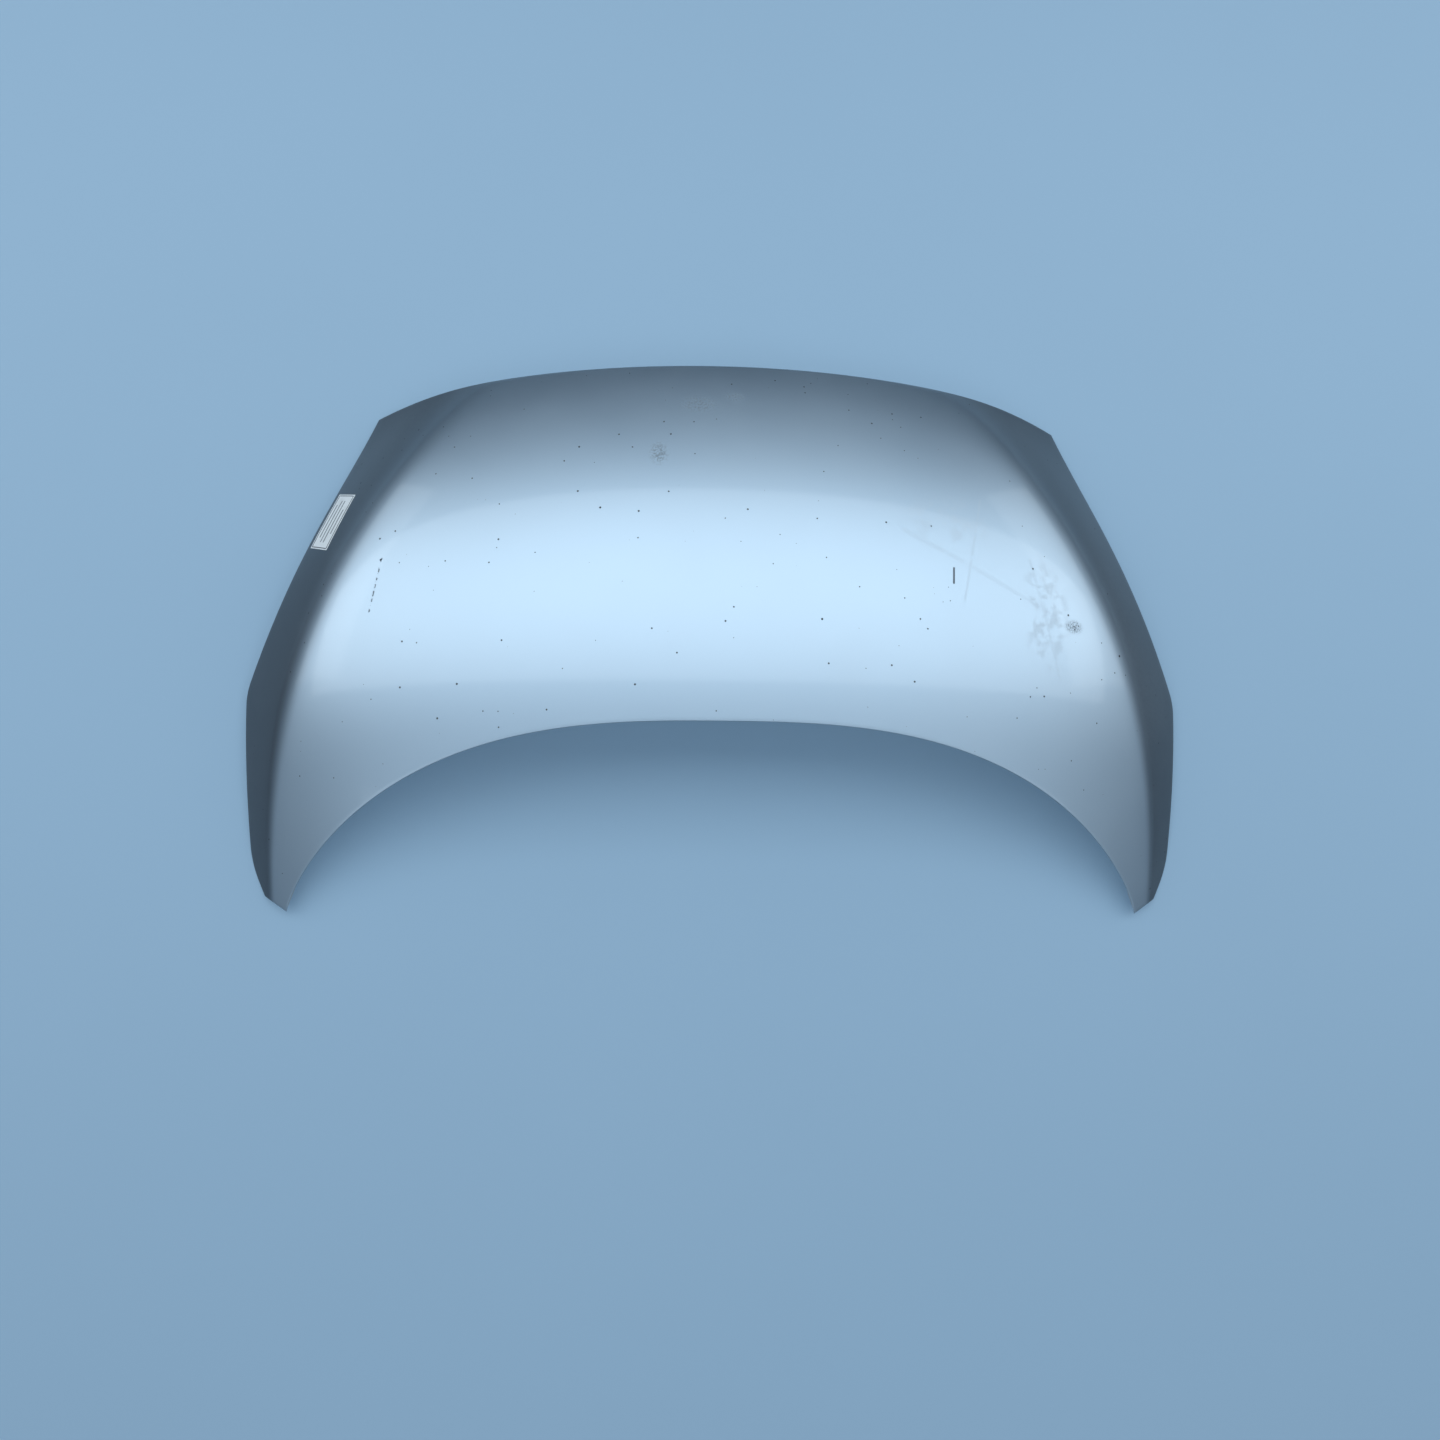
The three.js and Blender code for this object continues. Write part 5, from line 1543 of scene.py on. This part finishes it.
@dataclass
class RoundFittings:
    """Rubber buffers, blanking plugs and the socket of the prop rod."""

    front_buffer: Seat = Seat((-392.0, 327.936, 81.35), (-0.13417, 0.20893, 0.96868))
    side_buffer: Seat = Seat((-617.476, 34.5, 56.167), (-0.33112, 0.08233, 0.93999))
    plug: Seat = Seat((-205.0, 347.457, 104.566), (-0.04863, 0.20913, 0.97668))
    socket: Seat = Seat((570.335, 157.5, 57.121), (0.33688, 0.16608, 0.92679))
    buffer_radius: float = 13.0
    buffer_height: float = 13.0
    buffer_edge: float = 2.0
    buffer_neck: float = 4.5
    buffer_barb: float = 6.0
    buffer_barb_height: float = 6.0
    buffer_barb_tip: float = 3.2
    buffer_seat: float = -1.17
    groove_starts: tuple[float, ...] = (5.2, 9.2)
    groove_depth: float = 1.0
    groove_width: float = 1.2
    groove_slope: float = 0.6
    plug_radius: float = 14.0
    plug_height: float = 2.5
    plug_neck: float = 10.0
    plug_lip: float = 1.5
    plug_seat: float = -1.18
    socket_radius: float = 13.0
    socket_bore: float = 6.0
    socket_neck: float = 9.0
    socket_height: float = 9.0
    socket_flange: float = 3.0
    socket_seat: float = -1.13
    rise: float = 0.3
    buffer_easing: float = 0.3
    plug_easing: float = 0.4
    socket_easing: float = 0.5

    def buffer_profile(self) -> list[Pair]:
        """Rings of a buffer: a grooved head below the sheet, a neck and a barb above."""
        wide = self.buffer_radius
        low = self.buffer_seat - self.buffer_height
        rings = [(4.0, low + 1.5), (5.5, low), (wide - self.buffer_edge, low), (wide, low + self.buffer_edge)]
        for start in self.groove_starts:
            end = start + self.groove_width
            rings.append((wide, low + start - self.groove_slope))
            rings.append((wide - self.groove_depth, low + start))
            rings.append((wide - self.groove_depth, low + end))
            rings.append((wide, low + end + self.groove_slope))
        top = self.rise + self.buffer_barb_height
        rings += [(wide, self.buffer_seat), (self.buffer_neck, self.buffer_seat)]
        rings += [(self.buffer_neck, self.rise), (self.buffer_barb, self.rise)]
        return [*rings, (self.buffer_barb_tip, top)]

    def plug_profile(self) -> list[Pair]:
        """Rings of a plug: a dished cap below the sheet and a lip above."""
        low = self.plug_seat - self.plug_height
        neck = self.plug_neck
        lip = self.plug_lip
        rings = [(neck - lip, low + lip), (neck, low)]
        rings += [(self.plug_radius - lip, low), (self.plug_radius, self.plug_seat)]
        rings += [(neck, self.plug_seat), (neck, self.rise), (neck + lip, self.rise)]
        return [*rings, (neck - lip, self.rise + self.plug_height)]

    def socket_profile(self) -> list[Pair]:
        """Rings of the socket: the bore, the collar below the sheet and the body above."""
        seat = self.socket_seat
        low = seat - self.socket_flange
        top = self.rise + self.socket_height
        rings = [(self.socket_bore, top - self.socket_flange), (self.socket_bore, low)]
        rings += [(self.socket_radius, low), (self.socket_radius, seat)]
        return [*rings, (self.socket_neck, seat), (self.socket_neck, top)]

    def build(self) -> list[Built]:
        """Turns each kind once and seats its copies."""
        made: list[Built] = []
        rubber = turned("buffer_pattern", self.buffer_profile(), self.buffer_easing)
        cap = turned("plug_pattern", self.plug_profile(), self.plug_easing)
        for side in Side:
            word = side.name.lower()
            for kind, pattern, seat, slot in (
                ("front_buffer", rubber, self.front_buffer, "black_rubber"),
                ("side_buffer", rubber, self.side_buffer, "black_rubber"),
                ("blanking_plug", cap, self.plug, "black_plastic"),
            ):
                place = seat if side is Side.LEFT else seat.mirrored()
                piece = seated(pattern, f"turned_{kind}_{word}", place.matrix())
                made.append((piece, f"{kind}_{word}", slot, BodyName.BONNET))
        bored = turned("socket_pattern", self.socket_profile(), self.socket_easing)
        piece = seated(bored, "turned_prop_rod_socket", self.socket.matrix())
        made.append((piece, "prop_rod_socket", "black_plastic", BodyName.BONNET))
        for pattern in (rubber, cap, bored):
            bpy.data.objects.remove(pattern)
        return made


@dataclass(frozen=True)
class EasedPiece:
    """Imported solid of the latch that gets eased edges."""

    node: str
    easing: float
    slot: str
    body: BodyName = BodyName.BONNET


@dataclass
class Latch:
    """Striker with its bolts and the safety catch with its pin and spring."""

    pad: Seat = Seat((0.0, 339.5, 117.08), (0.0, 0.19588, 0.98063))
    pivot: Seat = Seat((20.0, 352.511, 96.449), (0.0, 0.19588, 0.98063))
    rod_radius: float = 4.0
    rear_leg: float = -23.0
    leg_pitch: float = 30.0
    rod_top: float = -1.18
    rod_low: float = -41.68
    rod_bend: float = 9.0
    spring_radius: float = 5.2
    spring_wire: float = 1.4
    spring_turns: int = 3
    spring_pitch: float = 1.7
    spring_start: float = -9.05
    spring_leg: float = 12.0
    bend_steps: int = 12
    coil_steps: int = 28
    easing_segments: int = 2
    easing_angle: float = 40.0
    eased: tuple[EasedPiece, ...] = (
        EasedPiece("striker_plate", 0.45, "zinc_steel"),
        EasedPiece("striker_bolt_1", 0.4, "zinc_steel"),
        EasedPiece("striker_bolt_2", 0.4, "zinc_steel"),
        EasedPiece("safety_catch", 0.5, "zinc_steel", BodyName.CATCH),
        EasedPiece("safety_catch_grip", 1.0, "black_plastic", BodyName.CATCH),
        EasedPiece("catch_pivot_pin", 0.35, "bare_steel"),
    )

    def striker_path(self) -> list[Place]:
        """Middle line of the rod: down, forward and up again with round bends."""
        bend = self.rod_bend
        front = self.rear_leg + self.leg_pitch
        turns = [math.pi / 2 * step / self.bend_steps for step in range(self.bend_steps + 1)]
        path = [(0.0, self.rear_leg, self.rod_top)]
        for start, way, angles in ((self.rear_leg, 1, turns), (front, -1, turns[::-1])):
            for angle in angles:
                offset = way * bend * (1 - math.cos(angle))
                path.append((0.0, start + offset, self.rod_low + bend * (1 - math.sin(angle))))
        path.append((0.0, front, self.rod_top))
        return path

    def spring_path(self) -> list[Place]:
        """Middle line of the wire: a straight leg, the coil and a straight leg."""
        radius = self.spring_radius
        travel = self.spring_turns * self.spring_pitch
        path = [(radius, self.spring_start, -self.spring_leg)]
        steps = self.coil_steps * self.spring_turns
        for step in range(steps + 1):
            angle = 2 * math.pi * self.spring_turns * step / steps
            y = self.spring_start + travel * step / steps
            path.append((radius * math.cos(angle), y, radius * math.sin(angle)))
        path.append((radius, self.spring_start + travel, self.spring_leg))
        return path

    def build(self) -> list[Built]:
        """Bends the rod and the spring, and eases the edges of the other pieces."""
        made: list[Built] = []
        for name, node, path, radius, seat in (
            ("striker_rod", "striker_loop", self.striker_path(), self.rod_radius, self.pad),
            ("coiled_spring", "catch_spring", self.spring_path(), self.spring_wire / 2, self.pivot),
        ):
            pattern = rod(f"{name}_pattern", path, radius)
            made.append((seated(pattern, name, seat.matrix()), node, "bare_steel", BodyName.BONNET))
            bpy.data.objects.remove(pattern)
        for part in self.eased:
            piece = copy_of_node(part.node, f"eased_{part.node}")
            ease_edges(piece, part.easing, self.easing_segments, self.easing_angle)
            smooth(piece, self.easing_angle)
            made.append((piece, part.node, part.slot, part.body))
        return made


@dataclass
class SmallParts:
    """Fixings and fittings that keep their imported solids."""

    record: dict
    finishes: dict[str, Material]

    def dress(self) -> None:
        """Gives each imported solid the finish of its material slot."""
        for part in self.record["subparts"]:
            node = bpy.data.objects[part["node"]]
            dress(node, self.finishes[part["material_slot"]])
            LOG.info("dressed %s in %s", node.name, part["material_slot"])


# ---------------------------------------------------------------- the studio


@dataclass(frozen=True)
class Lamp:
    """Soft rectangular lamp, in metres and watts."""

    name: str
    place: Place
    target: Place
    size: Pair
    watts: float
    colour: Rgb = (0.88, 0.95, 1.0)

    def hang(self) -> None:
        """Adds the lamp, aimed at its target."""
        data = bpy.data.lights.new(self.name, "AREA")
        data.shape = "RECTANGLE"
        data.size, data.size_y = self.size
        data.energy = self.watts
        data.color = self.colour
        lamp = bpy.data.objects.new(self.name, data)
        bpy.context.scene.collection.objects.link(lamp)
        lamp.location = self.place
        aim = Vector(self.target) - Vector(self.place)
        lamp.rotation_euler = aim.to_track_quat("-Z", "Y").to_euler()


@dataclass
class Studio:
    """Pale floor, soft light and the camera."""

    camera_place: Place = (-0.0552, -0.3365, 1.4564)
    camera_right: Place = (0.9991730845, 0.0045378271, 0.0403706261)
    camera_up: Place = (-0.0104003723, 0.9892005027, 0.1462249210)
    camera_back: Place = (-0.0392665634, -0.1465162667, 0.9884270909)
    focal: float = 23.38
    sensor: float = 36.0
    floor_size: float = 40.0
    floor_colour: Rgb = (0.37, 0.53, 0.67)
    sky_colour: Rgb = (0.40, 0.50, 0.60)
    horizon_colour: Rgb = (0.05, 0.06, 0.08)
    lamps: tuple[Lamp, ...] = (
        Lamp("window_lamp", (0.0, 0.98, 2.4), (0.0, 0.5, 0.1), (10.5, 1.85), 71.0),
        Lamp("fill_lamp", (0.0, -1.7, 2.5), (0.0, -0.9, 0.1), (8.0, 1.2), 14.0),
        Lamp("under_lamp", (0.0, 0.0, -2.2), (0.0, 0.0, 0.0), (3.4, 2.4), 45.0),
        Lamp("side_lamp_left", (-3.2, 1.35, 1.5), (-0.5, 0.3, 0.1), (2.4, 1.2), 7.0),
        Lamp("side_lamp_right", (3.2, 1.35, 1.5), (0.5, 0.3, 0.1), (2.4, 1.2), 7.0),
    )

    def floor(self) -> None:
        """Plain pale floor under the bonnet, which lets light and sight through from below."""
        deselect_all()
        bpy.ops.mesh.primitive_plane_add(size=self.floor_size, location=(0, 0, 0))
        floor = bpy.context.active_object
        floor.name = "studio_floor"
        material, shading, shader = principled("studio_floor")
        cloud = shading.noise(shading.place(), 1.5, detail=3.0)
        shading.feed(
            shader.inputs["Base Color"],
            shading.mix(cloud, tone(self.floor_colour), tone(self.floor_colour, 0.96)),
        )
        shader.inputs["Roughness"].default_value = 0.85
        clear = shading.node("ShaderNodeBsdfTransparent")
        surface = shading.node("ShaderNodeMixShader")
        behind = shading.node("ShaderNodeNewGeometry").outputs["Backfacing"]
        shadow = shading.node("ShaderNodeLightPath").outputs["Is Shadow Ray"]
        shading.feed(surface.inputs[0], shading.maths("MAXIMUM", behind, shadow))
        shading.feed(surface.inputs[1], shader.outputs[0])
        shading.feed(surface.inputs[2], clear.outputs[0])
        output = material.node_tree.nodes["Material Output"]
        shading.feed(output.inputs["Surface"], surface.outputs[0])
        dress(floor, material)

    def world(self) -> None:
        """Soft light that is brighter overhead than at the horizon."""
        scene = bpy.context.scene
        scene.world = bpy.data.worlds.new("studio_world")
        scene.world.use_nodes = True
        shading = Shading(scene.world.node_tree)
        background = scene.world.node_tree.nodes["Background"]
        direction = shading.node("ShaderNodeTexCoord").outputs["Generated"]
        axes = shading.node("ShaderNodeSeparateXYZ")
        shading.feed(axes.inputs[0], direction)
        height = shading.ramp(axes.outputs["Z"], 0.1, 0.9)
        colour = shading.mix(height, tone(self.horizon_colour), tone(self.sky_colour))
        shading.feed(background.inputs["Color"], colour)
        background.inputs["Strength"].default_value = 1.0
        scene.view_settings.view_transform = "Standard"

    def camera(self) -> None:
        """Camera at the photograph's angle."""
        data = bpy.data.cameras.new("photo_camera")
        data.lens = self.focal
        data.sensor_width = self.sensor
        camera = bpy.data.objects.new("photo_camera", data)
        bpy.context.scene.collection.objects.link(camera)
        turn = Matrix((self.camera_right, self.camera_up, self.camera_back)).transposed().to_4x4()
        camera.matrix_world = Matrix.Translation(self.camera_place) @ turn
        bpy.context.scene.camera = camera

    def build(self) -> None:
        """Sets up everything round the object."""
        self.floor()
        self.world()
        for lamp in self.lamps:
            lamp.hang()
        self.camera()


def main() -> None:
    """Builds the pieces in order and dresses them."""
    logging.basicConfig(level=logging.INFO, format="%(name)s: %(message)s")
    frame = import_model()
    effects = Effects()
    form = PanelForm()
    grid = PanelGrid(form)
    row = RowFrame.from_nodes(form)
    LOG.info("lift of the form over the floor %.5f m", row.lift)
    paint = SilverPaint(dark_lines=DARK_LINES, pale_lines=PALE_LINES, smudges=SMUDGES, scuffs=SCUFFS)
    label = StockLabel(row, grid)
    finishes = {
        "silver_paint": paint.material(effects),
        "inner_paint": SatinPaint().material(effects),
        "label_paper": label.finish().material(effects),
    }
    for finish in (ZINC, STEEL, RUBBER, PLASTIC, MASTIC):
        finishes[finish.name] = finish.material(effects)
    SmallParts(frame["record"], finishes).dress()
    made: list[Built] = [
        (OuterSkin(grid, row).build(), "bonnet_skin", "silver_paint", BodyName.BONNET),
        (label.build(), "stock_label", "label_paper", BodyName.BONNET),
        (InnerPanel().build(), "inner_panel", "inner_paint", BodyName.BONNET),
    ]
    made += RoundFittings().build()
    made += Latch().build()
    for piece, node, slot, body in made:
        dress(piece, finishes[slot])
        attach(piece, body.value)
        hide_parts(node)
        LOG.info("built %s for %s, %d faces", piece.name, node, len(piece.data.polygons))
    Studio().build()
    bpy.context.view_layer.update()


if __name__ == "__main__":
    main()
